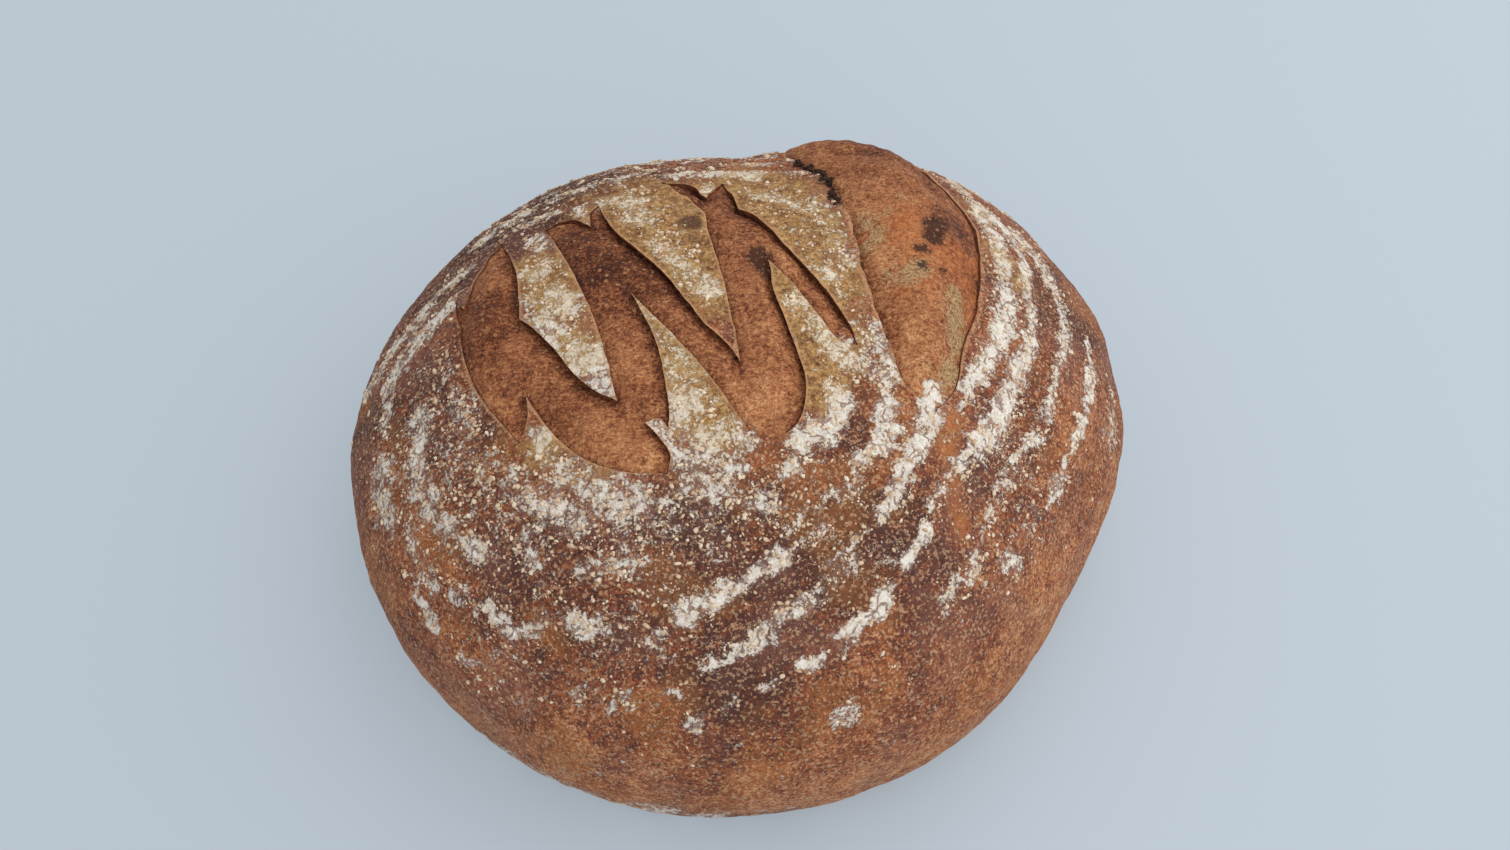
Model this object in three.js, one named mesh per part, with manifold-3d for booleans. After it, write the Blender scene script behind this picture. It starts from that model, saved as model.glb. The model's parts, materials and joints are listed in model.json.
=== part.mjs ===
// Round sourdough loaf, proofed in a coiled basket, scored and baked. Millimetres, +Z up.
// The base is flat on z = 0 and the loaf is centred on the origin.
import * as THREE from 'three';
import { mergeVertices } from 'three/addons/utils/BufferGeometryUtils.js';
import Module from 'manifold-3d';

// The whole loaf
const loafHeight = 100;
const widestHeight = 30;
const undercut = 12; // how far the side draws in below its widest line
const meanRadius = 107.6;
const crownPower = 2.2; // 2 would be a true ellipse; higher is fuller at the shoulder
const outlineCentre = new THREE.Vector2(-0.5, 2.8);
// Waves of the hand-shaped outline: [waves in a turn, cosine mm, sine mm]
const outlineWaves = [
  [2, 3.9, 3.8],
  [3, -0.95, 3.45],
  [4, -1, 0.2],
  [5, 0.4, -0.3],
  [6, 0.75, 0.3],
  [7, 0.2, 0.4],
];

// Ridges that the basket's coil pressed into the crust
const coilCentre = new THREE.Vector2(-42, 2.9);
const coilPitch = 8.46;
const coilTurnsPerLap = 4; // pitches that the ridges move out in one lap
const coilStart = 106.6;
const coilRidge = 0.5;
const coilWaves = [
  [1, -0.214, 0.16],
  [2, -0.074, -0.049],
  [3, 0.045, -0.082],
];

// Swellings and hollows of the crust: [waves along x, waves along y, phase, mm]
const crustSwells = [
  [0.045, 0.031, 0.4, 0.5],
  [-0.071, 0.052, 2.1, 0.35],
  [0.024, -0.093, 4.4, 0.3],
];

// Each slash of the blade opened to a leaf shape. Its left edge lies flush with the dough and
// its right edge is the lifted lip of the next flap. Points are [x, y] seen from above.
const slashes = [
  {
    start: [-68, 43.5],
    left: [[-73.5, 30.5], [-75.5, 9], [-71, -10.5]],
    right: [[-62.5, 29], [-59.5, 12], [-58.5, -8], [-55.3, -22.5]],
    end: [-57.5, -30.5],
  },
  {
    start: [-79, 22.5],
    left: [[-77, 14], [-71, 0], [-60, -11.5], [-46.5, -32], [-32.5, -41.5]],
    right: [[-73, 14.5], [-60, 8], [-51.5, -1.5], [-41.5, -16], [-32, -23], [-21.5, -31.5]],
    end: [-18, -44],
  },
  {
    start: [-55, 43.5],
    left: [[-48.5, 29], [-42, 12.5], [-36.5, -4.5], [-30.5, -21.5], [-23, -28]],
    right: [[-50, 46], [-41, 38.5], [-30, 13], [-22, -6], [-18.2, -24]],
    end: [-18, -32],
  },
  {
    start: [-40, 50],
    left: [[-42, 46], [-39.5, 33], [-29.7, 12.5], [-20, -0.5], [-10, -13.5]],
    right: [[-34.5, 36], [-21, 18], [-10, 0.5], [-1, -10.5], [2, -22]],
    end: [2.5, -32.5],
  },
  {
    start: [-5, 57],
    left: [[-8.8, 50], [-9, 36], [-5, 18.5], [-1.2, -2], [1, -17], [3, -31]],
    right: [[-2, 49], [0.3, 40], [4, 28], [8, 20], [9.5, 9], [13.5, -4], [17.4, -19], [15.5, -30]],
    end: [9, -35.5],
  },
  {
    start: [-22.5, 60],
    left: [[-14.5, 49.5], [-9, 40.5], [0, 30], [13.5, 14], [25.5, -4]],
    right: [[-13, 55.5], [-9.6, 48.5], [3.5, 39.5], [13, 25.5], [22, 12.5], [29, 0.5]],
    end: [31, -6],
  },
];

// The deep side cut that burst open into a bulging crescent. Its left edge is the raised ear.
const burst = {
  start: [10, 94],
  left: [[12.5, 81], [17.5, 69.5], [25.5, 56.5], [30.5, 34.5], [33, 17.5], [37.5, 1], [43.5, -16]],
  right: [[31, 95], [48, 87], [58.5, 69], [66, 50], [67.5, 32.5], [65.5, 14], [60.5, -0.5], [57, -14]],
  end: [51, -22],
};

const slashFlushDepth = 0.7;
const slashGrooveDepth = 4.2;
const slashLip = 1.6;
const burstGrooveDepth = 3;
const burstRimDepth = 1.4;
const burstSwell = 5.5;
const burstFullWidth = 28;
const earLip = 2.6;
const lipWidth = 8;
const hiddenDepth = 3; // how far the inner dough lies under the unbroken crust
const overlapWidth = 4; // the torn dough runs on this far under the crust's edge
const overlapDepth = 0.4;
const reliefStart = 4; // the crust's relief begins this high above the base
const cutterBottom = 15;
const cutterTop = 130;
const steepestTravel = 1.6; // below this the surface is moved straight sideways

// How finely the surfaces are divided
const crustGrid = { half: 27, lowerRings: 4 };
const doughGrid = { half: 34, lowerRings: 2 };
const edgeSteps = 18;

const crustMaterial = new THREE.MeshStandardMaterial({ color: 0x96603c, roughness: 0.78, metalness: 0 });

const wasm = await Module();
wasm.setup();

function outlineRadius(angle) {
  let radius = meanRadius;
  for (const [waves, cosine, sine] of outlineWaves) {
    radius += cosine * Math.cos(waves * angle) + sine * Math.sin(waves * angle);
  }
  return radius;
}

// Point of the smooth loaf. Travel runs from 0 at the crown, through 1 at the widest line,
// to 2 at the edge of the flat base.
function loafPoint(angle, travel) {
  let radius = outlineRadius(angle);
  let z;
  if (travel <= 1) {
    const climb = (travel * Math.PI) / 2;
    radius *= Math.sin(climb) ** (2 / crownPower);
    z = widestHeight + (loafHeight - widestHeight) * Math.cos(climb);
  } else {
    const drop = ((travel - 1) * Math.PI) / 2;
    radius -= undercut * (1 - Math.cos(drop));
    z = widestHeight * (1 - Math.sin(drop));
  }
  const x = outlineCentre.x + radius * Math.cos(angle);
  const y = outlineCentre.y + radius * Math.sin(angle);
  return new THREE.Vector3(x, y, z);
}

function loafNormal(angle, travel) {
  const step = 0.004;
  const low = Math.max(travel - step, step);
  const around = loafPoint(angle + step, low + step).sub(loafPoint(angle - step, low + step));
  const down = loafPoint(angle, low + 2 * step).sub(loafPoint(angle, low));
  return down.cross(around).normalize();
}

// Edges of the cuts
function edgeCurve(cut, side) {
  const points = [cut.start, ...cut[side], cut.end].map(([x, y]) => new THREE.Vector2(x, y));
  return new THREE.SplineCurve(points).getSpacedPoints(edgeSteps);
}

function cutOutline(cut) {
  const left = edgeCurve(cut, 'left');
  const right = edgeCurve(cut, 'right');
  return [...left, ...right.slice(1, -1).reverse()];
}

function isInside(outline, x, y) {
  let inside = false;
  for (let i = 0, j = outline.length - 1; i < outline.length; j = i, i += 1) {
    const a = outline[i];
    const b = outline[j];
    const crosses = a.y > y !== b.y > y;
    if (crosses && x < ((b.x - a.x) * (y - a.y)) / (b.y - a.y) + a.x) inside = !inside;
  }
  return inside;
}

function distanceTo(pieces, x, y) {
  let nearest = Infinity;
  for (const [a, b] of pieces) {
    const alongX = b.x - a.x;
    const alongY = b.y - a.y;
    const share = ((x - a.x) * alongX + (y - a.y) * alongY) / (alongX * alongX + alongY * alongY);
    const t = THREE.MathUtils.clamp(share, 0, 1);
    nearest = Math.min(nearest, Math.hypot(x - a.x - alongX * t, y - a.y - alongY * t));
  }
  return nearest;
}

// The stretches of an edge that no other slash has opened through
function openEdge(side) {
  const pieces = [];
  slashes.forEach((cut, index) => {
    const points = edgeCurve(cut, side);
    for (let i = 1; i < points.length; i += 1) {
      const x = (points[i].x + points[i - 1].x) / 2;
      const y = (points[i].y + points[i - 1].y) / 2;
      const covered = slashOutlines.some((outline, other) => other !== index && isInside(outline, x, y));
      if (!covered) pieces.push([points[i - 1], points[i]]);
    }
  });
  return pieces;
}

function asPieces(points) {
  return points.slice(1).map((point, i) => [points[i], point]);
}

const slashOutlines = slashes.map(cutOutline);
const burstOutline = cutOutline(burst);
const flushEdges = openEdge('left');
const lipEdges = openEdge('right');
const earEdge = asPieces(edgeCurve(burst, 'left'));
const burstRim = asPieces(edgeCurve(burst, 'right'));

// Distance out along the coil's ridges, whole pitches apart from ridge to ridge
function coilRidgeHeight(x, y) {
  const dx = x - coilCentre.x;
  const dy = y - coilCentre.y;
  const angle = Math.atan2(dy, dx);
  let scale = 1;
  for (const [waves, cosine, sine] of coilWaves) {
    scale += cosine * Math.cos(waves * angle) + sine * Math.sin(waves * angle);
  }
  const lap = (coilTurnsPerLap * coilPitch * angle) / (2 * Math.PI);
  const out = Math.hypot(dx, dy) * scale - lap;
  const shown = THREE.MathUtils.smoothstep(out, 4 * coilPitch, 6 * coilPitch);
  return coilRidge * shown * Math.cos((2 * Math.PI * (out - coilStart)) / coilPitch);
}

function crustSwell(x, y) {
  return crustSwells.reduce((sum, [kx, ky, phase, size]) => sum + size * Math.sin(kx * x + ky * y + phase), 0);
}

function lipHeight(x, y) {
  const slashShare = Math.exp(-distanceTo(lipEdges, x, y) / lipWidth);
  const earShare = Math.exp(-distanceTo(earEdge, x, y) / lipWidth);
  return slashLip * slashShare + earLip * earShare;
}

// How far the crust stands out from the smooth loaf
function crustLift(point) {
  const { x, y, z } = point;
  const upper = THREE.MathUtils.smoothstep(z, reliefStart, widestHeight);
  return upper * (crustSwell(x, y) + coilRidgeHeight(x, y) + lipHeight(x, y));
}

// Torn dough in a slash: shallow at the flush edge, deepest against the lifted lip
function slashDepth(x, y) {
  const fromFlush = distanceTo(flushEdges, x, y);
  const fromLip = distanceTo(lipEdges, x, y);
  const share = fromFlush / Math.max(fromFlush + fromLip, 0.01);
  return slashFlushDepth + (slashGrooveDepth - slashFlushDepth) * share ** 2.2;
}

// Burst dough swells between the ear's groove and the far rim
function burstDepth(x, y) {
  const fromEar = distanceTo(earEdge, x, y);
  const fromRim = distanceTo(burstRim, x, y);
  const share = fromEar / Math.max(fromEar + fromRim, 0.01);
  const edges = THREE.MathUtils.lerp(burstGrooveDepth, burstRimDepth, share);
  const room = Math.min(1, (fromEar + fromRim) / burstFullWidth);
  const arch = Math.sin(Math.PI * share);
  return room * (edges * (1 - arch) - burstSwell * arch ** 0.8);
}

function doughLift(point) {
  const { x, y, z } = point;
  if (z < cutterBottom) return -hiddenDepth;
  if (isInside(burstOutline, x, y)) return -burstDepth(x, y);
  if (slashOutlines.some((outline) => isInside(outline, x, y))) return -slashDepth(x, y);
  const outside = Math.min(distanceTo(lipEdges, x, y), distanceTo(flushEdges, x, y));
  return outside < overlapWidth ? -slashDepth(x, y) - overlapDepth : -hiddenDepth;
}

// Where a square grid's point lies on the dome. Squares of the grid become rings around the
// crown, which keeps the cells even all over.
function gridPlace(i, j, half) {
  const reach = Math.max(Math.abs(i), Math.abs(j));
  if (reach === 0) return { angle: 0, travel: 0 };
  const travel = reach / half;
  if (Math.abs(i) >= Math.abs(j)) {
    return { angle: (Math.PI / 4) * (j / i) + (i < 0 ? Math.PI : 0), travel };
  }
  return { angle: Math.PI / 2 - (Math.PI / 4) * (i / j) + (j < 0 ? Math.PI : 0), travel };
}

// Closed dome, each point moved out along the smooth loaf's normal
function dome(grid, baseHeight, lift) {
  const { half, lowerRings } = grid;
  const side = 2 * half + 1;
  const positions = [];
  const index = [];
  const addPoint = (angle, travel) => {
    const point = loafPoint(angle, travel);
    const normal = loafNormal(angle, Math.min(travel, steepestTravel));
    const moved = point.clone().addScaledVector(normal, lift(point));
    positions.push(moved.x, moved.y, Math.max(moved.z, baseHeight));
  };
  const cell = (a, b, c, d, slope) => {
    if (slope) index.push(a, b, c, a, c, d);
    else index.push(a, b, d, b, c, d);
  };
  for (let i = -half; i <= half; i += 1) {
    for (let j = -half; j <= half; j += 1) {
      const place = gridPlace(i, j, half);
      addPoint(place.angle, place.travel);
    }
  }
  for (let i = 0; i < side - 1; i += 1) {
    for (let j = 0; j < side - 1; j += 1) {
      const a = i * side + j;
      cell(a, a + side, a + side + 1, a + 1, i < half === j < half);
    }
  }
  // The square's border, walked once round, goes on as the rings below the widest line
  let edge = [];
  for (let step = 0; step < side - 1; step += 1) edge.push([side - 1, step]);
  for (let step = 0; step < side - 1; step += 1) edge.push([side - 1 - step, side - 1]);
  for (let step = 0; step < side - 1; step += 1) edge.push([0, side - 1 - step]);
  for (let step = 0; step < side - 1; step += 1) edge.push([step, 0]);
  const angles = edge.map(([i, j]) => gridPlace(i - half, j - half, half).angle);
  edge = edge.map(([i, j]) => i * side + j);
  for (let ring = 1; ring <= lowerRings; ring += 1) {
    const first = positions.length / 3;
    angles.forEach((angle) => addPoint(angle, 1 + ring / lowerRings));
    const next = edge.map((_, n) => first + n);
    edge.forEach((upper, n) => {
      const after = (n + 1) % edge.length;
      cell(upper, next[n], next[after], edge[after], true);
    });
    edge = next;
  }
  const middle = positions.length / 3;
  positions.push(outlineCentre.x, outlineCentre.y, baseHeight);
  edge.forEach((corner, n) => index.push(middle, edge[(n + 1) % edge.length], corner));
  const geometry = new THREE.BufferGeometry();
  geometry.setAttribute('position', new THREE.Float32BufferAttribute(positions, 3));
  geometry.setIndex(index);
  return geometry;
}

function cutter(outline) {
  const shape = new THREE.Shape(outline);
  const options = { depth: cutterTop - cutterBottom, bevelEnabled: false, curveSegments: 1 };
  return new THREE.ExtrudeGeometry(shape, options).translate(0, 0, cutterBottom);
}

function toSolid(geometry) {
  const plain = geometry.clone();
  plain.deleteAttribute('normal');
  plain.deleteAttribute('uv');
  const merged = mergeVertices(plain, 1e-4);
  const vertProperties = new Float32Array(merged.attributes.position.array);
  const triVerts = new Uint32Array(merged.index.array);
  return new wasm.Manifold(new wasm.Mesh({ numProp: 3, vertProperties, triVerts }));
}

function toGeometry(solid) {
  const mesh = solid.getMesh();
  const geometry = new THREE.BufferGeometry();
  geometry.setAttribute('position', new THREE.Float32BufferAttribute(mesh.vertProperties, 3));
  geometry.setIndex(new THREE.BufferAttribute(new Uint32Array(mesh.triVerts), 1));
  geometry.computeVertexNormals();
  return geometry;
}

function makeLoaf() {
  let crust = toSolid(dome(crustGrid, 0, crustLift));
  for (const outline of [...slashOutlines, burstOutline]) {
    crust = crust.subtract(toSolid(cutter(outline)));
  }
  const dough = toSolid(dome(doughGrid, hiddenDepth, doughLift));
  const mesh = new THREE.Mesh(toGeometry(crust.add(dough)), crustMaterial);
  mesh.name = 'loaf';
  return mesh;
}

const group = new THREE.Group();
group.name = 'sourdough_loaf';
group.add(makeLoaf());

export default group;
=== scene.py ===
# Round sourdough loaf with basket rings of flour, a slashed top and a burst side
import json
import math
import bpy
import numpy as np
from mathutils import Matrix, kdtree

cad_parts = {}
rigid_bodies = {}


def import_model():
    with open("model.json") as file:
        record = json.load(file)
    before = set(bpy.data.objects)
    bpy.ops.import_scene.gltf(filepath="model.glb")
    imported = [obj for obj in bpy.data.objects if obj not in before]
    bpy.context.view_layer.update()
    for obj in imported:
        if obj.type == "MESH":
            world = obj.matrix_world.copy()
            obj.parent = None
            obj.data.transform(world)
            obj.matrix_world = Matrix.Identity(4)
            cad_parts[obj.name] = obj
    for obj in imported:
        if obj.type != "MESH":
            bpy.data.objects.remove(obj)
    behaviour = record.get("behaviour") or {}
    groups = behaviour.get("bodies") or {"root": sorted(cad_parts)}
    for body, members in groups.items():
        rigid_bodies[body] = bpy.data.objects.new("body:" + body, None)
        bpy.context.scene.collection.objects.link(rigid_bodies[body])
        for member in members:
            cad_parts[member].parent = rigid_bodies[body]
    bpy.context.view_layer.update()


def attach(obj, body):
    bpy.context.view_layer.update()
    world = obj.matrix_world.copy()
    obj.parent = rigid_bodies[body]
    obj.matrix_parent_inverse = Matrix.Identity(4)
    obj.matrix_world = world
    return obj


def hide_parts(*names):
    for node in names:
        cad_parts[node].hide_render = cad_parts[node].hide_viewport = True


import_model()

metre = 0.001  # sizes below are in millimetres until a mesh is written

# Shape of the whole loaf, from above and from the side
loafShape = {
    "height": 100.0,
    "widestHeight": 30.0,
    "undercut": 12.0,
    "meanRadius": 107.6,
    "crownPower": 2.2,
    "centre": (-0.5, 2.8),
    # waves in a turn, cosine mm, sine mm
    "waves": (
        (2, 3.9, 3.8), (3, -0.95, 3.45), (4, -1.0, 0.2), (5, 0.4, -0.3), (6, 0.75, 0.3), (7, 0.2, 0.4),
    ),
    # swellings and hollows: waves along x, waves along y, phase, mm
    "swells": ((0.045, 0.031, 0.4, 0.5), (-0.071, 0.052, 2.1, 0.35), (0.024, -0.093, 4.4, 0.3)),
}

# Rings that the basket's coil pressed into the crust
coil = {
    "centre": (-42.0, 2.9),
    "pitch": 8.46,
    "pitchesPerLap": 4,
    "start": 106.6,
    "ridge": 0.35,          # half the height of a ridge
    "waves": ((1, -0.214, 0.16), (2, -0.074, -0.049), (3, 0.045, -0.082)),
}

# Blade slashes seen from above: the left edge lies flush, the right edge is a lifted lip
slashes = (
    {
        "name": "slashA",
        "closing": (16, 10),  # mm over which it closes at its start and end
        "start": (-68, 43.5),
        "left": ((-73.5, 30.5), (-75.5, 9), (-71, -10.5)),
        "right": ((-62.5, 29), (-59.5, 12), (-58.5, -8), (-55.3, -22.5)),
        "end": (-57.5, -30.5),
    },
    {
        "name": "slashB",
        "closing": (8, 6),
        "start": (-79, 22.5),
        "left": ((-77, 14), (-71, 0), (-60, -11.5), (-46.5, -32), (-32.5, -41.5)),
        "right": (
            (-73, 14.5), (-60, 8), (-51.5, -1.5), (-41.5, -16), (-32, -23), (-26.5, -27.5), (-20.5, -34),
            (-17.3, -39),
        ),
        "end": (-18, -44),
    },
    {
        "name": "slashC",
        "closing": (14, 0),
        "start": (-55, 43.5),
        "left": (
            (-48.5, 29), (-42, 12.5), (-36.5, -4.5), (-32.3, -20.5), (-29, -29.5), (-24.5, -30),
            (-20.5, -28.8),
        ),
        "right": ((-50, 46), (-41, 38.5), (-30, 13), (-22, -6), (-18.2, -24)),
        "end": (-18, -32),
    },
    {
        "name": "slashD",
        "closing": (12, 15),
        "start": (-40, 50),
        "left": ((-42, 46), (-39.5, 33), (-29.7, 12.5), (-20, -0.5), (-10, -13.5)),
        "right": ((-34.5, 36), (-21, 18), (-10, 0.5), (-1, -10.5), (2, -22)),
        "end": (2.5, -32.5),
    },
    {
        "name": "slashE",
        "closing": (8, 13),
        "start": (-5, 57),
        "left": ((-8.8, 50), (-9, 36), (-5, 18.5), (-1.2, -2), (1, -17), (3, -31)),
        "right": ((-2, 49), (0.3, 40), (4, 28), (8, 20), (9.5, 9), (13.5, -4), (17.4, -19), (15.5, -30)),
        "end": (9, -35.5),
    },
    {
        "name": "slashF",
        "closing": (12, 14),
        "start": (-22.5, 60),
        "left": ((-14.5, 49.5), (-9, 40.5), (0, 30), (13.5, 14), (25.5, -4)),
        "right": ((-13, 55.5), (-9.6, 48.5), (3.5, 39.5), (13, 25.5), (22, 12.5), (29, 0.5)),
        "end": (31, -6),
    },
)

# The deep side cut that burst into a bulging crescent: its left edge is the burnt ear
burst = {
    "name": "burst",
    "closing": (0, 22),
    "start": (10, 94),
    "left": ((12.5, 80), (17, 68.5), (24.3, 55.5), (30, 34.5), (33, 17.5), (37.5, 1), (43.5, -16)),
    "right": ((31, 95), (48, 87), (58.5, 69), (66, 50), (67.5, 32.5), (65.5, 14), (60.5, -0.5), (57, -14)),
    "end": (51, -22),
}

cutShape = {
    "flushDepth": 0.4,
    "grooveDepth": 1.6,
    "pillow": 1.6,          # how far the torn dough domes up between its edges
    "slashFullWidth": 14.0,
    "slashLip": 0.6,
    "earGroove": 2.2,
    "rimGroove": 1.3,
    "burstSwell": 5.5,
    "burstFullWidth": 28.0,
    "earLip": 1.4,
    "lipWidth": 5.5,
    "hiddenDepth": 5.5,
    "lowestCut": 34.0,      # height of the lowest torn dough
    "sinkBeyond": 0.9,      # the hidden dough drops this much for each mm beyond a cut's edge
    "lipLean": 0.35,        # sideways mm for each mm of depth, in under a lip
    "flushLean": -0.3,
    "above": 16.0,
    "below": 9.0,
    "bluntEnd": 0.12,
    "slashJag": 0.1,
    "earJag": 0.4,
    "burntJag": 1.0,
    "edgeSteps": 120,
}

meshGrid = {
    "crustHalf": 118,       # squares from the crown's middle to the widest line
    "crustLowerRings": 13,
    "doughHalf": 170,
    "doughLowerRings": 3,
    "baseRings": 2,
    "ringDrop": 0.1,
    "doughBase": 4,         # height at which the inner dough ends
}


# Repeatable noise: sines of many directions and lengths, about -1 to 1
def makeNoise(seed, smallest, largest, waves=28):
    draw = np.random.default_rng(seed)
    heading = draw.uniform(0, 2 * math.pi, waves)
    tilt = np.arcsin(draw.uniform(-1, 1, waves))
    length = np.exp(draw.uniform(math.log(smallest), math.log(largest), waves))
    phase = draw.uniform(0, 2 * math.pi, waves)
    size = length ** 0.7
    size /= math.sqrt((size ** 2).sum())
    vectors = np.stack([np.cos(heading) * np.cos(tilt), np.sin(heading) * np.cos(tilt), np.sin(tilt)], 1)
    vectors *= (2 * math.pi / length)[:, None]

    def noise(points):
        total = np.zeros(len(points))
        for vector, shift, amount in zip(vectors, phase, size):
            total += amount * np.sin(points @ vector + shift)
        return total

    return noise


def smoothStep(value, low, high):
    share = np.clip((value - low) / (high - low), 0, 1)
    return share * share * (3 - 2 * share)


# Smooth loaf surface. Travel is 0 at the crown, 1 at the widest line, 2 at the base's edge, 3 at its middle
def outlineRadius(angle):
    radius = np.full_like(angle, loafShape["meanRadius"])
    for turns, cosine, sine in loafShape["waves"]:
        radius += cosine * np.cos(turns * angle) + sine * np.sin(turns * angle)
    return radius


def domePoints(angle, travel):
    full = outlineRadius(angle)
    climb = np.clip(travel, 0, 1) * math.pi / 2
    drop = np.clip(travel - 1, 0, 1) * math.pi / 2
    inward = 1 - np.clip(travel - 2, 0, 1)
    radius = full * np.sin(climb) ** (2 / loafShape["crownPower"])
    radius = (radius - loafShape["undercut"] * (1 - np.cos(drop))) * inward
    rise = (loafShape["height"] - loafShape["widestHeight"]) * np.cos(climb)
    z = loafShape["widestHeight"] * (1 - np.sin(drop)) + rise
    x = loafShape["centre"][0] + radius * np.cos(angle)
    y = loafShape["centre"][1] + radius * np.sin(angle)
    return np.stack([x, y, z], 1)


def domeNormals(angle, travel):
    step = 0.004
    low = np.clip(travel, 2 * step, 1.6) - step
    around = domePoints(angle + step, low + step) - domePoints(angle - step, low + step)
    down = domePoints(angle, low + 2 * step) - domePoints(angle, low)
    normals = np.cross(down, around)
    return normals / np.linalg.norm(normals, axis=1)[:, None]


# Point of the upper surface, and its normal, straight above a place in the plan
def domeAbove(plan):
    away = plan - np.array(loafShape["centre"])
    angle = np.arctan2(away[:, 1], away[:, 0])
    share = np.clip(np.hypot(away[:, 0], away[:, 1]) / outlineRadius(angle), 0, 1)
    travel = np.arcsin(share ** (loafShape["crownPower"] / 2)) * 2 / math.pi
    return domePoints(angle, travel), domeNormals(angle, travel)


# Edges of the cuts, as even steps along a smooth curve through their points
def smoothCurve(points, steps):
    points = np.array(points, float)
    last = len(points) - 1
    share = np.linspace(0, 1, 20, endpoint=False)[:, None]
    fine = []
    for i in range(last):
        before, here = points[max(i - 1, 0)], points[i]
        after, beyond = points[i + 1], points[min(i + 2, last)]
        leave = (after - before) / 2
        arrive = (beyond - here) / 2
        cubic = (2 * here - 2 * after + leave + arrive) * share ** 3
        fine.append(cubic + (-3 * here + 3 * after - 2 * leave - arrive) * share ** 2 + leave * share + here)
    fine = np.vstack(fine + [points[last:]])
    run = np.concatenate([[0], np.cumsum(np.linalg.norm(np.diff(fine, axis=0), axis=1))])
    even = np.linspace(0, run[-1], steps + 1)
    return np.stack([np.interp(even, run, fine[:, 0]), np.interp(even, run, fine[:, 1])], 1)


def sideways(curve):
    ahead = np.gradient(curve, axis=0)
    ahead /= np.linalg.norm(ahead, axis=1)[:, None]
    return np.stack([ahead[:, 1], -ahead[:, 0]], 1)


# Share of burning along the ear
def earBurn(plan):
    return smoothStep(plan[:, 1], 40, 50) * (1 - smoothStep(plan[:, 1], 66, 73))


# A torn edge wanders a little, and not at its two ends. It is ragged where the ear burnt
def tornEdge(cut, side, jag, burntJag, seed):
    curve = smoothCurve((cut["start"],) + cut[side] + (cut["end"],), cutShape["edgeSteps"])
    place = np.hstack([curve, np.zeros((len(curve), 1))])
    settle = np.sin(np.linspace(0, math.pi, len(curve))) ** 0.5
    wander = jag * settle * makeNoise(seed, 2.0, 12.0)(place)
    wander += burntJag * earBurn(curve) * makeNoise(seed + 9, 2.2, 5.0)(place)
    return curve + sideways(curve) * wander[:, None]


for number, cut in enumerate(slashes + (burst,)):
    jag, burntJag = cutShape["slashJag"], 0
    if cut is burst:
        jag, burntJag = cutShape["earJag"], cutShape["burntJag"]
    cut["leftEdge"] = tornEdge(cut, "left", jag, burntJag, 40 + number)
    cut["rightEdge"] = tornEdge(cut, "right", cutShape["slashJag"], 0, 60 + number)
    cut["outline"] = np.vstack([cut["leftEdge"], cut["rightEdge"][-2:0:-1]])


def isInside(outline, plan):
    inside = np.zeros(len(plan), bool)
    low, high = outline.min(0), outline.max(0)
    near = np.flatnonzero(((plan > low) & (plan < high)).all(1))
    x, y = plan[near, 0], plan[near, 1]
    odd = np.zeros(len(near), bool)
    for a, b in zip(outline, np.roll(outline, 1, axis=0)):
        if a[1] != b[1]:
            crosses = (a[1] > y) != (b[1] > y)
            odd ^= crosses & (x < (b[0] - a[0]) * (y - a[1]) / (b[1] - a[1]) + a[0])
    inside[near] = odd
    return inside


# Straight pieces of an edge, with a tree that finds the nearest of them
def edgeFinder(pieces):
    halves = np.concatenate([pieces, pieces])
    middle = pieces.mean(1)
    halves[:len(pieces), 1] = middle
    halves[len(pieces):, 0] = middle
    tree = kdtree.KDTree(len(halves))
    for number, (x, y) in enumerate(halves.mean(1)):
        tree.insert((x, y, 0), number)
    tree.balance()
    return {"pieces": halves, "tree": tree}


# Shortest distance in the plan to an edge
def distanceTo(finder, plan):
    nearest = [finder["tree"].find((x, y, 0))[1] for x, y in plan.tolist()]
    pieces = finder["pieces"][nearest]
    step = pieces[:, 1] - pieces[:, 0]
    away = plan - pieces[:, 0]
    share = np.clip((away * step).sum(1) / (step ** 2).sum(1), 0, 1)
    return np.linalg.norm(away - share[:, None] * step, axis=1)


def asPieces(curve):
    return np.stack([curve[:-1], curve[1:]], 1)


# The stretches of the slashes' edges that no other slash has opened through
def openEdges(side):
    kept = []
    for cut in slashes:
        pieces = asPieces(cut[side])
        middle = pieces.mean(1)
        covered = np.zeros(len(middle), bool)
        for other in slashes:
            if other is not cut:
                covered |= isInside(other["outline"], middle)
        kept.append(pieces[~covered])
    return np.vstack(kept)


flushEdge = edgeFinder(openEdges("leftEdge"))
lipEdge = edgeFinder(openEdges("rightEdge"))
earEdge = edgeFinder(asPieces(burst["leftEdge"]))
rimEdge = edgeFinder(asPieces(burst["rightEdge"]))


# Near its ends a cut closes: 0 there, 1 where it is fully open
def openShare(plan):
    share = np.ones(len(plan))
    for cut in slashes + (burst,):
        for end, reach in zip(("start", "end"), cut["closing"]):
            if reach > 0:
                away = np.linalg.norm(plan - np.array(cut[end], float), axis=1)
                share *= smoothStep(away, 0, reach)
    return share


# Distance out along the coil's rings, whole pitches apart from ring to ring
def coilOut(plan):
    away = plan - np.array(coil["centre"])
    angle = np.arctan2(away[:, 1], away[:, 0])
    scale = np.ones(len(plan))
    for turns, cosine, sine in coil["waves"]:
        scale += cosine * np.cos(turns * angle) + sine * np.sin(turns * angle)
    lap = coil["pitchesPerLap"] * coil["pitch"] * angle / (2 * math.pi)
    return np.hypot(away[:, 0], away[:, 1]) * scale - lap


def coilPhase(plan):
    return 2 * math.pi * (coilOut(plan) - coil["start"]) / coil["pitch"]


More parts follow.
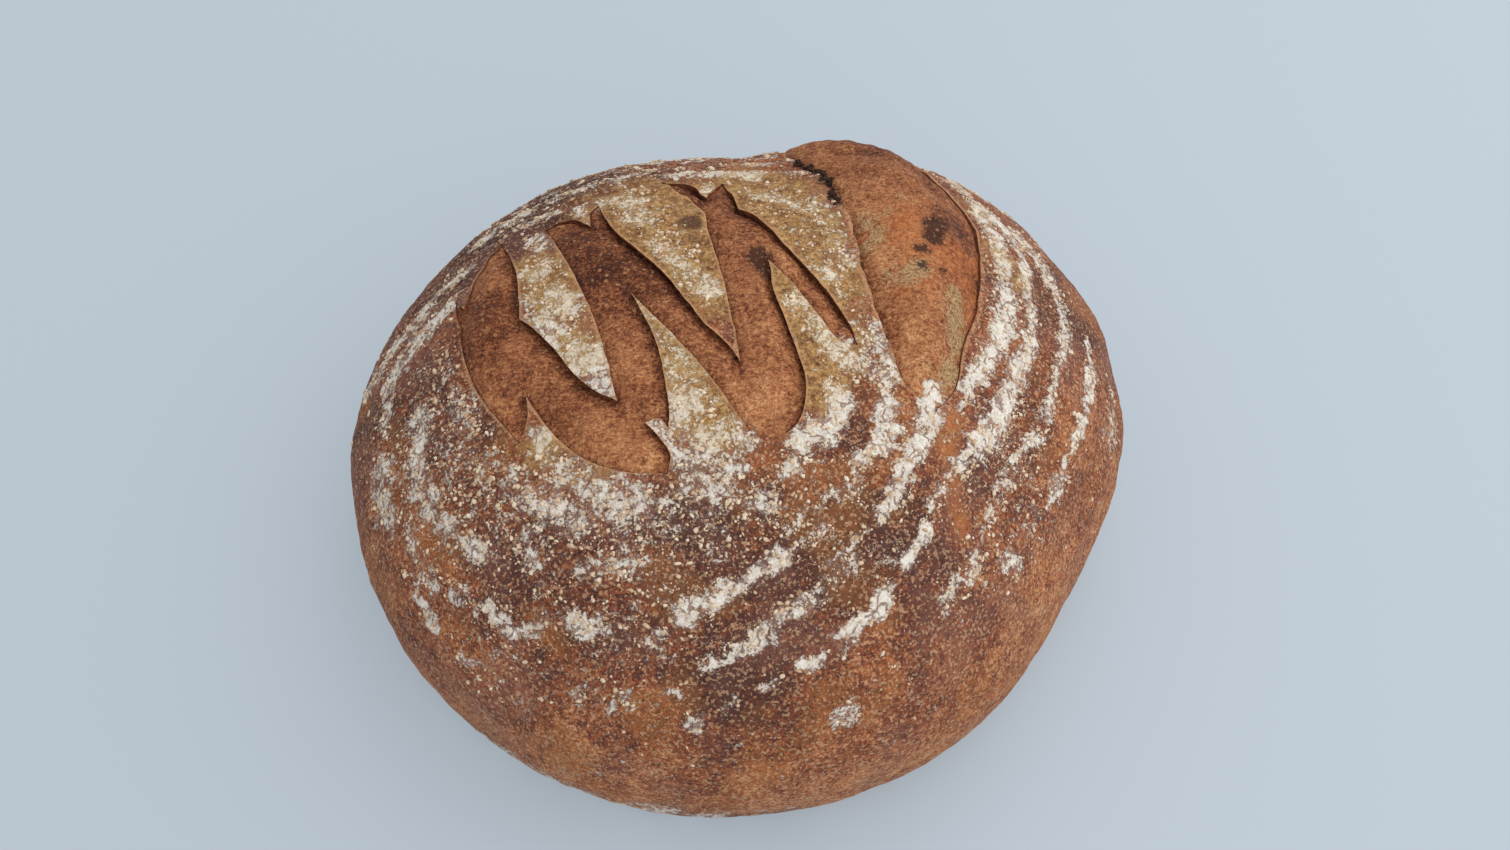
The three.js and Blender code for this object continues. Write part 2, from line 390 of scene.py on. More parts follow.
def crustSwell(plan):
    total = np.zeros(len(plan))
    for alongX, alongY, phase, size in loafShape["swells"]:
        total += size * np.sin(alongX * plan[:, 0] + alongY * plan[:, 1] + phase)
    return total


blister = makeNoise(11, 2.6, 7.0, 40)
pucker = makeNoise(12, 8.0, 26.0)
tear = makeNoise(13, 2.2, 6.0, 40)
lump = makeNoise(14, 6.0, 20.0)

relief = {
    "blister": 0.09,
    "pucker": 0.2,
    "tear": 0.16,
    "lump": 0.3,
    "footFade": (0.5, 9),   # heights between which the bumps come in
    "sideFade": 4,          # height from which the swells and ridges come in
    "ridgesFrom": (4, 6),   # pitches out from the coil's middle
}


# Swells, the coil's ridges and slow bumps, which crust and torn dough share
def sharedLift(points):
    plan = points[:, :2]
    upper = smoothStep(points[:, 2], relief["sideFade"], loafShape["widestHeight"])
    first, full = relief["ridgesFrom"]
    shown = smoothStep(coilOut(plan), first * coil["pitch"], full * coil["pitch"])
    ridges = coil["ridge"] * shown * np.cos(coilPhase(plan))
    bumps = relief["pucker"] * pucker(points) * smoothStep(points[:, 2], *relief["footFade"])
    return upper * (crustSwell(plan) + ridges) + bumps


# How far the crust stands out from the smooth loaf
def crustLift(points):
    plan = points[:, :2]
    upper = smoothStep(points[:, 2], relief["sideFade"], loafShape["widestHeight"])
    slashShare, earShare = (
        np.exp(-(distanceTo(finder, plan) / cutShape["lipWidth"]) ** 1.3) for finder in (lipEdge, earEdge)
    )
    lips = (cutShape["slashLip"] * slashShare + cutShape["earLip"] * earShare) * openShare(plan)
    skin = relief["blister"] * blister(points) * smoothStep(points[:, 2], *relief["footFade"])
    return sharedLift(points) + upper * lips + skin


# Torn dough in a slash: shallow at the flush edge, domed, deepest against the lifted lip
def slashDepth(plan):
    fromFlush = distanceTo(flushEdge, plan)
    fromLip = distanceTo(lipEdge, plan)
    share = fromFlush / np.maximum(fromFlush + fromLip, 0.01)
    drop = (cutShape["grooveDepth"] - cutShape["flushDepth"]) * share ** 3
    room = np.minimum(1, (fromFlush + fromLip) / cutShape["slashFullWidth"])
    drop -= cutShape["pillow"] * room * np.sin(math.pi * share ** 0.8)
    return cutShape["flushDepth"] + drop * openShare(plan), np.minimum(fromFlush, fromLip)


# Burst dough swells between the ear's groove and the far rim
def burstDepth(plan):
    fromEar = distanceTo(earEdge, plan)
    fromRim = distanceTo(rimEdge, plan)
    share = fromEar / np.maximum(fromEar + fromRim, 0.01)
    edges = cutShape["earGroove"] + (cutShape["rimGroove"] - cutShape["earGroove"]) * share
    room = np.minimum(1, (fromEar + fromRim) / cutShape["burstFullWidth"])
    arch = np.sin(math.pi * share)
    depth = room * (edges * (1 - arch) - cutShape["burstSwell"] * arch ** 0.8)
    return depth * openShare(plan) + 0.4 * (1 - room), np.minimum(fromEar, fromRim)


def doughLift(points):
    plan = points[:, :2]
    inBurst = isInside(burst["outline"], plan)
    inSlash = np.zeros(len(plan), bool)
    for cut in slashes:
        inSlash |= isInside(cut["outline"], plan)
    slashDeep, slashAway = slashDepth(plan)
    burstDeep, burstAway = burstDepth(plan)
    # outside every cut the dough runs on under the crust and sinks away
    nearBurst = burstAway < slashAway
    away = np.where(nearBurst, burstAway, slashAway)
    sunk = cutShape["sinkBeyond"] * away + 0.3 * smoothStep(away, 0, 1)
    hidden = np.where(nearBurst, burstDeep, slashDeep) + sunk
    depth = np.where(inSlash, slashDeep, np.where(inBurst, burstDeep, hidden))
    depth = np.minimum(depth, cutShape["hiddenDepth"])
    depth = np.where(points[:, 2] < cutShape["lowestCut"], cutShape["hiddenDepth"], depth)
    torn = relief["tear"] * tear(points) + relief["lump"] * lump(points)
    torn = np.where(inSlash | inBurst, torn, 0) * smoothStep(away, 0.3, 3)
    return sharedLift(points) - depth + torn


def deselectAll():
    for other in bpy.context.view_layer.objects:
        other.select_set(False)


def activate(piece):
    deselectAll()
    piece.select_set(True)
    bpy.context.view_layer.objects.active = piece


def faceOutwards(piece):
    activate(piece)
    bpy.ops.object.mode_set(mode="EDIT")
    bpy.ops.mesh.select_all(action="SELECT")
    bpy.ops.mesh.normals_make_consistent(inside=False)
    bpy.ops.object.mode_set(mode="OBJECT")


def readPoints(piece):
    flat = np.empty(len(piece.data.vertices) * 3)
    piece.data.vertices.foreach_get("co", flat)
    return flat.reshape(-1, 3)


def writePoints(piece, points):
    piece.data.vertices.foreach_set("co", np.ascontiguousarray(points, dtype=np.float32).ravel())
    piece.data.update()


# A flat grid whose border is drawn down into rings: its squares become the dome's even cells
def makeDome(name, half, lowerRings, lift, lowest):
    deselectAll()
    bpy.ops.mesh.primitive_grid_add(x_subdivisions=2 * half, y_subdivisions=2 * half, size=2)
    piece = bpy.context.object
    piece.name = name
    bpy.ops.object.mode_set(mode="EDIT")
    bpy.ops.mesh.select_mode(type="EDGE")
    bpy.ops.mesh.select_all(action="DESELECT")
    bpy.ops.mesh.select_non_manifold()
    for ring in range(lowerRings + meshGrid["baseRings"]):
        drop = {"value": (0, 0, -meshGrid["ringDrop"])}
        bpy.ops.mesh.extrude_edges_move(TRANSFORM_OT_translate=drop)
    bpy.ops.mesh.edge_face_add()
    bpy.ops.object.mode_set(mode="OBJECT")
    # each point's way down from the crown, and its heading
    x, y, z = readPoints(piece).T
    travel = np.maximum(np.abs(x), np.abs(y))
    ring = np.round(-z / meshGrid["ringDrop"])
    travel = np.where(ring > 0, 1 + np.minimum(ring / lowerRings, 1), travel)
    travel += np.maximum(ring - lowerRings, 0) / (meshGrid["baseRings"] + 1)
    wide = np.abs(x) >= np.abs(y)
    safeX = np.where(x == 0, 1, x)
    safeY = np.where(y == 0, 1, y)
    angle = np.where(wide, math.pi / 4 * y / safeX, math.pi / 2 - math.pi / 4 * x / safeY)
    angle += np.where(np.where(wide, x < 0, y < 0), math.pi, 0)
    smooth = domePoints(angle, travel)
    moved = smooth + domeNormals(angle, travel) * lift(smooth)[:, None]
    moved[:, 2] = np.where(travel >= 2, lowest, np.maximum(moved[:, 2], lowest))
    inBase = travel > 2
    moved[inBase, :2] = smooth[inBase, :2]
    writePoints(piece, moved * metre)
    faceOutwards(piece)
    return piece


# A strip as long as the cut, drawn up into a block whose walls lean in under the lifted edges
def makeCutter(cut):
    steps = cutShape["edgeSteps"]
    deselectAll()
    bpy.ops.mesh.primitive_grid_add(x_subdivisions=steps, y_subdivisions=1, size=2)
    cutter = bpy.context.object
    cutter.name = cut["name"] + "Cutter"
    bpy.ops.object.mode_set(mode="EDIT")
    bpy.ops.mesh.select_all(action="SELECT")
    bpy.ops.mesh.extrude_region_move(TRANSFORM_OT_translate={"value": (0, 0, 1)})
    bpy.ops.object.mode_set(mode="OBJECT")
    template = readPoints(cutter)
    station = np.round((template[:, 0] + 1) / 2 * steps).astype(int)  # step along the cut
    edges = {}
    # direction over the cut at each step, at its pointed ends as just inside them
    across = cut["rightEdge"] - cut["leftEdge"]
    across[0], across[-1] = across[2], across[-3]
    across /= np.linalg.norm(across, axis=1)[:, None]
    for side, sign in (("left", -1), ("right", 1)):
        curve = cut[side + "Edge"].copy()
        curve[[0, -1]] += sign * cutShape["bluntEnd"] * across[[0, -1]]
        lifted = (side == "right") != (cut is burst)
        lean = cutShape["lipLean"] if lifted else cutShape["flushLean"]
        outward = sideways(curve)
        outward *= np.sign((outward * across * sign).sum(1))[:, None]
        on, normal = domeAbove(curve)
        lean3 = np.hstack([outward, np.zeros((len(curve), 1))])
        lean3 -= normal * (lean3 * normal).sum(1)[:, None]
        lean3 /= np.linalg.norm(lean3, axis=1)[:, None]
        settle = np.sin(np.linspace(0, math.pi, len(curve))) ** 0.5
        slope = normal - lean * settle[:, None] * lean3
        lip = (cutShape["earLip"] if cut is burst else cutShape["slashLip"]) * lifted
        on = on + normal * (lip * openShare(curve))[:, None]
        edges[side] = (on - slope * cutShape["below"], on + slope * cutShape["above"])
    placed = np.empty_like(template)
    for side, onSide in (("left", template[:, 1] < 0), ("right", template[:, 1] > 0)):
        for level, onLevel in ((0, template[:, 2] < 0.5), (1, template[:, 2] > 0.5)):
            chosen = onSide & onLevel
            placed[chosen] = edges[side][level][station[chosen]]
    writePoints(cutter, placed * metre)
    faceOutwards(cutter)
    return cutter


# Joins or cuts a piece with another, which is then removed
def applyBoolean(piece, other, operation):
    activate(piece)
    change = piece.modifiers.new("change", "BOOLEAN")
    change.operation = operation
    change.object = other
    change.solver = "MANIFOLD"
    change.material_mode = "INDEX"
    bpy.ops.object.modifier_apply(modifier=change.name)
    bpy.data.objects.remove(other, do_unlink=True)


def fillSlots(piece, materials, index):
    piece.data.materials.clear()
    for material in materials:
        piece.data.materials.append(material)
    piece.data.polygons.foreach_set("material_index", [index] * len(piece.data.polygons))


# Where flour lies thick: half width mm, cover, then points of the stroke seen from above
flourStrokes = (
    # outermost ring on the right
    (1.0, 1.0, (99, 22.5), (98.5, 12), (97.5, 2.5), (95.5, -4.5), (92.5, -12.5), (90, -19.5), (86.5, -27.5)),
    (0.8, 0.75, (86, -27.5), (83, -34.5)),
    (0.9, 0.5, (80.5, -37.5), (76, -45.5)),
    (1.4, 0.75, (73, -51), (70, -55)),
    (1.6, 0.5, (107, 14), (106, 4), (103.5, -5)),
    # second ring
    (1.7, 0.8, (80, 57.5), (86, 47.5), (88.5, 37.5), (90.5, 27.5), (91, 17.5), (89, 7.5)),
    (1.4, 0.85, (89, 7.5), (87.5, 4.5), (86, -2.5), (84, -9.5), (82, -14)),
    (1.1, 0.8, (79.5, -19.5), (76, -24.5), (72, -28.5)),
    (1.1, 0.6, (71, -32.5), (68.5, -37)),
    (1.0, 0.6, (67, -40.5), (65, -45.5)),
    (1.7, 0.62, (62, -55.5), (60, -59.5), (55.5, -63.5), (53, -68.5)),
    # third ring
    (1.9, 0.9, (70, 64.5), (77, 52.5), (80, 42.5), (80.5, 32.5), (80.5, 24.5)),
    (1.9, 0.95, (80.5, 24.5), (81, 17.5), (79, 7.5), (78, 4.5), (75.5, -1.5), (73.5, -8.5), (71, -15)),
    (2.5, 1.0, (72, -11), (70, -18)),
    (2.5, 1.0, (68, -21), (66.5, -24), (62.5, -28.5)),
    (1.6, 0.85, (60, -31.5), (57.5, -35), (55, -38)),
    (1.3, 0.8, (53, -41), (50.5, -46.5)),
    (1.4, 0.9, (48, -52.5), (46, -56.5), (42.5, -62)),
    (1.6, 0.95, (38.5, -67.5), (35.5, -72), (30.5, -76), (25.5, -80)),
    (1.2, 0.95, (20.5, -83.5), (16, -85.5)),
    (0.9, 0.6, (10, -88.5), (5, -90)),
    (0.8, 0.6, (0, -92), (-4, -94)),
    # wide ring against the burst's rim
    (2.5, 0.85, (63, 80), (65.5, 70), (69.5, 57.5), (73, 45), (73.5, 35), (74, 25), (73.5, 17)),
    (3.3, 1.0, (73.5, 17), (72, 11.5), (70.5, 5.5), (68, 0.5)),
    (2.7, 1.0, (67, -1), (65, -5.5), (62, -10.5), (60.5, -13)),
    (1.1, 0.6, (61, -16), (58, -20)),
    # ring that starts in the burst's tail
    (3.2, 1.0, (51, -16.5), (51.5, -20), (50.5, -24)),
    (2.9, 1.0, (50, -25), (47, -30.5), (45.5, -35)),
    (2.3, 0.95, (44.5, -37), (42, -42), (39.5, -47)),
    (1.5, 0.85, (39, -48.5), (36, -51.5)),
    # rings in front of the cuts' right half
    (2.9, 1.0, (38.5, -23), (38.5, -28.5), (37, -33.5)),
    (2.1, 1.0, (36, -35), (32, -38), (30, -39.5)),
    (1.8, 0.8, (38, -15.5), (39, -21)),
    (3.3, 1.0, (25.5, -21.5), (26, -25.5), (21.5, -31.5), (17, -35)),
    (2.3, 0.85, (15, -40.5), (12.5, -43.5)),
    # front
    (1.9, 0.8, (12, -63), (5, -67), (-1, -70.5)),
    (2.5, 0.92, (-4, -71.5), (-9, -74), (-15, -76.5)),
    (1.7, 0.66, (-19, -79.5), (-22, -81)),
    (1.8, 0.8, (19, -72), (12, -75.5), (8, -78.5), (4, -81)),
    (1.1, 0.66, (1, -83.5), (-4, -85), (-10, -87)),
    (2.8, 0.4, (3, -51.5), (8, -50.5)),
    (3.5, 0.41, (-5, -48.5), (-10, -47.5)),
    (2.2, 0.49, (25, -48.5), (30, -44.5)),
    (2.0, 0.3, (22, -55.5), (15, -59.5), (9, -65.5)),
    (2.0, 0.34, (29, -63.5), (23, -68.5), (20, -71.5)),
    (1.2, 0.66, (30, -91), (25, -93.5)),
    (2.0, 0.8, (-42, -75), (-38, -77), (-34, -77.5)),
    (1.6, 0.49, (-50, -74.5), (-56, -74.5), (-60, -72.5)),
    (1.7, 0.57, (-65.5, -67.5), (-62, -70.5)),
    (1.0, 0.57, (-73, -73.5), (-66, -77.5)),
    (2.2, 0.45, (-40, -65.5), (-33, -64.5), (-27, -65.5)),
    (1.5, 0.70, (-52, -61.5), (-53, -60)),
    (1.3, 0.66, (-54, -55.5), (-55, -54.5)),
    (1.7, 0.45, (-74, -61.5), (-71, -63.5)),
    (1.4, 0.66, (-30, -90), (-28, -90.5)),
    (1.2, 0.66, (-12, -95.5), (-9, -95.5)),
    (1.1, 0.66, (-42, -87.5), (-40, -88.5)),
    (0.9, 0.66, (-19, -90), (-16, -90.5)),
    (1.0, 0.6, (24, -47.5), (18, -52.5), (12, -57.5)),
    (0.9, 0.6, (32, -56), (27, -61), (22, -66)),
    # left side
    (2.7, 0.74, (-104, 10), (-99, 17), (-93, 22.5), (-86, 30.5), (-78, 37)),
    (2.5, 0.75, (-98, 2.5), (-95, 7), (-90, 12.5), (-84, 17.5), (-80, 22.5)),
    (1.8, 0.61, (-97, -3), (-97.5, -12.5)),
    (2.6, 0.64, (-98, -19.5), (-97.5, -26), (-96, -31.5)),
    (1.8, 0.41, (-95, -34), (-92, -40)),
    (2.6, 0.68, (-87, -12.5), (-86, -17.5), (-86, -27.5), (-84, -35.5), (-82, -39.5)),
    (2.0, 0.49, (-88, -42.5), (-86, -49.5)),
    (1.8, 0.57, (-83.5, -52), (-80.5, -57.5)),
    (0.9, 0.78, (-86, -56), (-82.5, -63), (-79, -66.5)),
    (3.0, 0.28, (-79, 3), (-80, -6)),
    (3.6, 0.34, (-76, -12.5), (-72, -20)),
    (4.0, 0.32, (-70, -28), (-68, -35.5)),
    (2.1, 0.74, (-79, -44.5), (-74, -47.5)),
    (2.3, 0.78, (-71, -51), (-66, -55.5)),
    (3.4, 0.47, (-60, -39.5), (-57, -43.5), (-52, -46.5), (-45, -49.5), (-42, -53.5)),
    (4.2, 0.52, (-46, -40), (-38, -45), (-29, -49.5)),
    (2.7, 0.49, (-28, -49.5), (-23, -51.5)),
    (3.2, 0.5, (-15, -41), (-8, -40.5), (-3, -42.5)),
    (2.2, 0.54, (-13, -46), (-9, -45)),
    # behind the cuts
    (1.9, 0.62, (-77, 51.5), (-62, 59.5), (-46, 63.5), (-30, 67)),
    (1.5, 0.62, (-64, 48.5), (-57, 50.5), (-50, 52.5)),
    (3.0, 0.8, (-20, 65.5), (-8, 65), (4, 63)),
    # skin between the cuts
    (3.4, 0.46, (-58, 24), (-54, 26.5)),
    (3.0, 0.6, (-57, 39), (-56, 36)),
    (3.6, 0.64, (-50, 14.5), (-47, 10.5)),
    (4.0, 0.52, (-52, 3), (-48, -3)),
    (5.0, 0.52, (-43, -6), (-35, -20)),
    (2.6, 0.6, (-17, -12), (-16, -16)),
    (4.0, 0.62, (-16, -22), (-12, -27)),
    (4.6, 0.6, (-14, -32), (-8, -35)),
    (2.2, 0.85, (-24, -31), (-20, -35), (-16.5, -40)),
    (3.2, 0.7, (-3, -32), (2, -36)),
    (3.6, 0.66, (-37, 50.5), (-28, 50.5)),
    (2.6, 0.62, (-30, 41), (-25, 38.5)),
    (3.0, 0.68, (-19, 24), (-13, 18)),
    (2.6, 0.85, (-9, 12), (-6, 9)),
    (2.4, 0.5, (-23, 30), (-21, 27)),
    (2.6, 0.75, (-52, -30), (-47, -38)),
    (3.0, 0.6, (3, 51.5), (12, 48.5)),
    (2.6, 0.54, (14, 47), (22, 43)),
    (2.6, 0.4, (24, 40), (27, 30), (30, 20)),
    (1.8, 0.85, (24.5, 17), (24, 15)),
    (2.2, 0.55, (17, 9), (15, 6)),
    (3.2, 0.68, (22, 1), (25, -7), (28, -11)),
    (2.0, 0.75, (36, 1), (37, -5), (40, -10), (41, -14)),
    (2.6, 0.6, (34, -12), (38, -16)),
    (1.6, 0.7, (-73, 16), (-73.5, 20)),
    (1.8, 0.7, (-43, 42), (-46, 50)),
    (2.2, 0.75, (-9.5, 50), (-9.5, 56)),
)

# Soft patches are reach mm, amount, x, y. First thin flour dust over wide areas
dustPatches = (
    (16, 0.08, -84, -8), (15, 0.13, -76, -22), (14, 0.12, -60, -42), (14, 0.2, -44, -50), (14, 0.2, -24, -54),
    (12, 0.16, -8, -48), (12, 0.08, 8, -48), (12, 0.04, 22, -46), (18, 0.11, -86, -32), (14, 0.1, -72, -54),
    (16, 0.06, -54, -66), (16, 0.08, -20, -66), (18, 0.08, 6, -64), (14, 0.08, 34, -58), (10, 0.2, -66, 52),
    (8, 0.24, -56, 24), (8, 0.42, -51, 10), (8, 0.42, -44, -6), (8, 0.34, -38, -16), (9, 0.4, -12, -20),
    (8, 0.4, -16, -8), (12, 0.2, 24, 26), (10, 0.3, 30, -6), (8, 0.3, -56, 8), (12, 0.16, -92, 14),
    (12, 0.08, 84, -10),
    (14, 0.14, 66, -46), (16, 0.08, 40, -80), (16, 0.1, -30, -84), (16, 0.1, -62, -82), (14, 0.15, 74, -28),
    (9, 0.22, -28, 46), (9, 0.22, -20, 28), (8, 0.26, -12, 12), (8, 0.3, -22, 2), (10, 0.15, 10, 44),
    (8, 0.3, 18, 8),
)

# Patches of the bake; the pale patches along the lower front are partly paler bake and partly painted light
darkPatches = (
    (18, 0.55, -10, -58), (13, 0.7, 12, -88), (12, 0.6, -2, -93), (9, 0.4, -45, -55), (8, 0.5, 36, -53),
    (9, 0.5, 63, -34), (12, 0.4, 48, -50), (12, 0.35, 20, -60), (10, 0.3, 70, -36), (14, 0.2, -60, -62),
    (12, 0.6, -92, 32), (18, 1.0, -72, 46), (18, 1.0, -50, 58), (14, 0.9, -30, 62), (14, 0.3, 41, -77),
    (20, 0.32, -52, -72), (20, 0.25, -22, -80), (18, 0.4, 18, -56), (16, 0.3, 52, -64), (14, 0.3, 2, -50),
    (12, 0.3, 88, -22), (12, 0.25, 76, 30), (10, 0.3, -60, 12), (14, 0.2, -2, -78),
    (12, 0.5, -103, 0), (14, 0.5, -80, -15), (12, 0.4, -70, -33), (10, 0.4, 28, -26), (8, 0.4, 45, -58),
    (12, 0.4, 95, 20), (14, 0.3, 88, 30), (10, 0.35, 30, -66), (10, 0.3, -20, -72), (12, 0.3, 75, -30),
)
paleBakeAndPaintedLightPatches = (
    (30, 0.35, 20, -110), (30, 0.35, 62, -94), (24, 0.45, 92, -55), (24, 0.35, 105, -20),
    (26, 0.3, -30, -108),
    (24, 0.35, -72, -88), (12, 0.28, 8, -104), (10, 0.3, 58, -40), (10, 0.2, 0, -28), (14, 0.3, 10, -40),
)
tanPatches = (
    (9, 1.0, -24, 4), (10, 1.0, -16, -14), (10, 1.0, -6, -30), (15, 1.0, -30, 46), (15, 1.0, -17, 36),
    (13, 1.0, -10, 20), (7, 0.8, -3, 8), (10, 1.0, 12, 12), (11, 1.0, 18, -4), (8, 0.9, 20, -20),
    (14, 0.9, 10, 50), (12, 0.9, 20, 32), (9, 0.7, 29, 14), (9, 0.9, -55, 26), (9, 0.9, -50, 12),
    (9, 0.9, -43, -6),
    (8, 0.8, -50, -32), (8, 0.5, -38, -43), (9, 0.5, 32, -6), (8, 0.6, 66, 60), (8, 0.5, 72, 40),
    (7, 0.6, 78, 30), (12, 0.5, 0, 62),
)
scorchPatches = (
    (3.4, 1.0, -14.5, 38), (2.4, 0.8, -12, 36), (2.0, 0.6, 12, 39), (1.8, 0.5, 16, 35), (1.6, 0.4, -25, 34),
    (2.0, 0.3, 9, 36), (2.5, 0.5, -57, 17), (3.0, 0.4, -52, 19), (2.4, 0.3, -4, -2),
)
orangePatches = (
    (5, 0.8, 56, -24), (4, 0.9, 54, -32), (4, 0.8, 55, -40), (4, 0.7, 57, -47), (3.5, 0.6, 58, -52),
    (4, 0.5, 43, -24), (4, 0.5, 43, -32),
)

# Patches inside the torn dough
doughDark = (
    (12, 0.6, -45, 32), (12, 0.5, -38, 18), (10, 0.4, -66, 12), (10, 0.3, -70, 0), (9, 0.35, -30, 22),
    (9, 0.3, -24, 18), (9, 0.4, -18, 53), (6, 0.4, 0, 42), (8, 0.5, 55, 60),
    (7, 0.55, 62, 40), (6, 0.8, 64, 27), (9, 0.35, 61, 20), (8, 0.3, 62, 42), (10, 0.6, 46, 79),
    (12, 0.35, 30, 84), (8, 0.3, 64, 52), (14, 0.3, 36, 70),
    (8, 0.25, -44, -22),
)
doughScorch = (
    (3.2, 1.0, 5, 22.5), (2.4, 0.9, 6.5, 19), (1.6, 0.5, 7.5, 15), (3.4, 1.0, 54, 38), (3.0, 1.0, 53, 32),
    (1.8, 0.7, 50.5, 26), (1.5, 0.8, 49.5, 20), (1.3, 0.7, 48, 26), (1.2, 0.6, 55, 20), (3, 0.4, 56, 46),
)
doughLight = (
    (8, 0.45, -24, -38.5), (7, 0.15, -40, -33), (9, 0.3, 6, -22), (8, 0.35, 4, -30), (7, 0.3, -30, -12),
    (8, 0.25, 7, -5), (7, 0.3, 10, 24), (10, 0.3, 48, -10), (12, 0.3, 43, 22), (6, 0.3, 37, 42),
)
doughRed = (
    (5, 0.7, 62, 20), (5, 0.7, 63, 10), (4, 0.6, 61, 2), (4, 0.5, 48, 40), (4, 0.5, 46, 22),
    (5, 0.9, 42, 36), (4, 0.8, 45, 30), (4, 0.7, 43, 10), (5, 0.7, 56, 28), (4, 0.6, 36, 30),
    (6, 0.7, 63, 30),
    (6, 0.5, 54, 45), (3, 0.6, 34, 30), (6, 0.3, 50, 14), (8, 0.45, 45, 32), (7, 0.4, 40, 46),
    (8, 0.35, 52, 18),
)
doughGreen = (
    (4.5, 0.7, 38, 31), (5, 0.6, 44, 15), (3, 0.8, 48, 19), (3.6, 0.75, 58, 10), (3.6, 0.75, 58, 2),
    (3, 0.5, 42, 40),
    (4, 0.8, 35, 38), (3, 0.7, 34, 26), (3, 0.6, 39, 17), (3, 0.6, 58, 14), (3, 0.6, 58.5, 6),
    (3, 0.7, 57.5, -2),
    (3, 0.8, 57, -9), (5, 0.6, 54, -12), (4, 0.4, 46, 48), (3, 0.5, 49, 19), (2, 0.8, 55.5, 38),
)


# Sum of the soft patches at each place
def patchAmount(patches, plan):
    total = np.zeros(len(plan))
    for reach, amount, x, y in patches:
        away = np.linalg.norm(plan - np.array((x, y), float), axis=1) / reach
        total += amount * np.exp(-away ** 2)
    return total


stray = makeNoise(21, 2.6, 8.0, 36)
wear = makeNoise(22, 3.0, 12.0, 36)

flourShape = {
    "wander": 0.8,          # mm that strokes stray
    "worn": (-0.1, 0.8),    # levels of the wear noise: whole, worn
    "strokeReach": 4,
    "strokeEdge": 2.6,      # higher is sharper
    "ringCover": 0.58,
    "footCover": 0.7,
    "wearLoss": 0.4,
    "footHeights": (-24, -12),
    "footSide": (70, 110),  # mm towards the left front
    "dust": (0.1, 0.44),    # least and most
}


# Share of the crust that flour covers: strokes, faint rings at the back, a line at the foot, and dust
def flourCover(points):
    # strokes wander and break up
    plan = points[:, :2] + flourShape["wander"] * np.stack([stray(points), stray(points[:, [1, 2, 0]])], 1)
    worn = smoothStep(wear(points), *flourShape["worn"])
    cover = np.zeros(len(plan))
    for halfWidth, amount, *stroke in flourStrokes:
        ends = np.array(stroke, float)
        steps = 4 * (len(ends) - 1)
        pieces = asPieces(smoothCurve(stroke, steps) if len(ends) > 2 else ends)
        reach = halfWidth + flourShape["strokeReach"]
        low, high = pieces.min((0, 1)) - reach, pieces.max((0, 1)) + reach
        near = np.flatnonzero(((plan > low) & (plan < high)).all(1))
        if len(near) == 0:
            continue
        away = distanceTo(edgeFinder(pieces), plan[near])
        stroked = amount * 0.5 ** ((away / halfWidth) ** flourShape["strokeEdge"])
        stroked *= 1 - (0.6 - 0.45 * amount) * worn[near]  # thick flour wears less
        cover[near] = np.maximum(cover[near], stroked)
    x, y = plan.T
    behind = smoothStep(y, 50, 70) + smoothStep(-x, 96, 104) * smoothStep(y, 20, 40)
    behind = np.clip(behind * (1 - isInside(burst["outline"], plan)), 0, 1)
    rings = smoothStep(np.cos(coilPhase(plan)), 0.2, 1.0) * smoothStep(points[:, 2], 12, 30)
    rings *= (flourShape["ringCover"] - flourShape["wearLoss"] * worn) * behind
    cover = np.maximum(cover, rings)
    foot = smoothStep(-points[:, 2], *flourShape["footHeights"]) * smoothStep(-x - y, *flourShape["footSide"])
    cover = np.maximum(cover, foot * (flourShape["footCover"] - flourShape["wearLoss"] * worn))
    least, most = flourShape["dust"]
    dust = np.minimum(patchAmount(dustPatches, plan) + least, most) * smoothStep(points[:, 2], 6, 24)
    return 1 - (1 - np.clip(cover, 0, 1)) * (1 - dust)


# Values that the finishes read at each point of the loaf
def measureLoaf(piece):
    points = readPoints(piece) / metre
    plan = points[:, :2]
    heights = points[:, 2]
    torn = heights > cutShape["lowestCut"]
    farAway = 20
    inBurst = isInside(burst["outline"], plan) & (heights > 30)
    fromFlush, fromLip = distanceTo(flushEdge, plan), distanceTo(lipEdge, plan)
    fromEar, fromRim = distanceTo(earEdge, plan), distanceTo(rimEdge, plan)
    closeness = np.minimum(np.minimum(fromFlush, fromLip), np.minimum(fromEar, fromRim))
    # lighter towards the base and on the pale patches: partly paler bake, partly painted light
    side = smoothStep(-heights, -42, -12)
    values = {
        "flourCover": flourCover(points),
        "bakeToneWithPaintedLight": patchAmount(darkPatches, plan) - patchAmount(paleBakeAndPaintedLightPatches, plan) - 0.3 * side,
        "doughTone": patchAmount(doughLight, plan) - patchAmount(doughDark, plan),
        "edgeAway": np.where(torn, closeness, farAway),
        "earAway": np.where(torn, fromEar, farAway),
        # distances from which the dough's painted shade is laid: under the lips and along the flush edges,
        # and in the burst under the ear and along the rim
        "lipAway": np.where(inBurst, fromEar, fromLip),
        "flushAway": np.where(inBurst, fromRim, fromFlush),
        "earBurn": earBurn(plan),
        "burstShare": inBurst.astype(float),
        "openShare": openShare(plan),
    }
    crustPatches = {"tanSkin": tanPatches, "orangeStreak": orangePatches, "scorchSpot": scorchPatches}
    for name, patches in crustPatches.items():
        values[name] = np.clip(patchAmount(patches, plan), 0, 1) * smoothStep(heights, 30, 36)
    doughPatches = {"doughScorch": doughScorch, "doughRed": doughRed, "doughGreen": doughGreen}
    for name, patches in doughPatches.items():
        values[name] = np.clip(patchAmount(patches, plan), 0, 1)
    for name, value in values.items():
        attribute = piece.data.attributes.new(name, "FLOAT", "POINT")
        attribute.data.foreach_set("value", np.ascontiguousarray(value, dtype=np.float32))


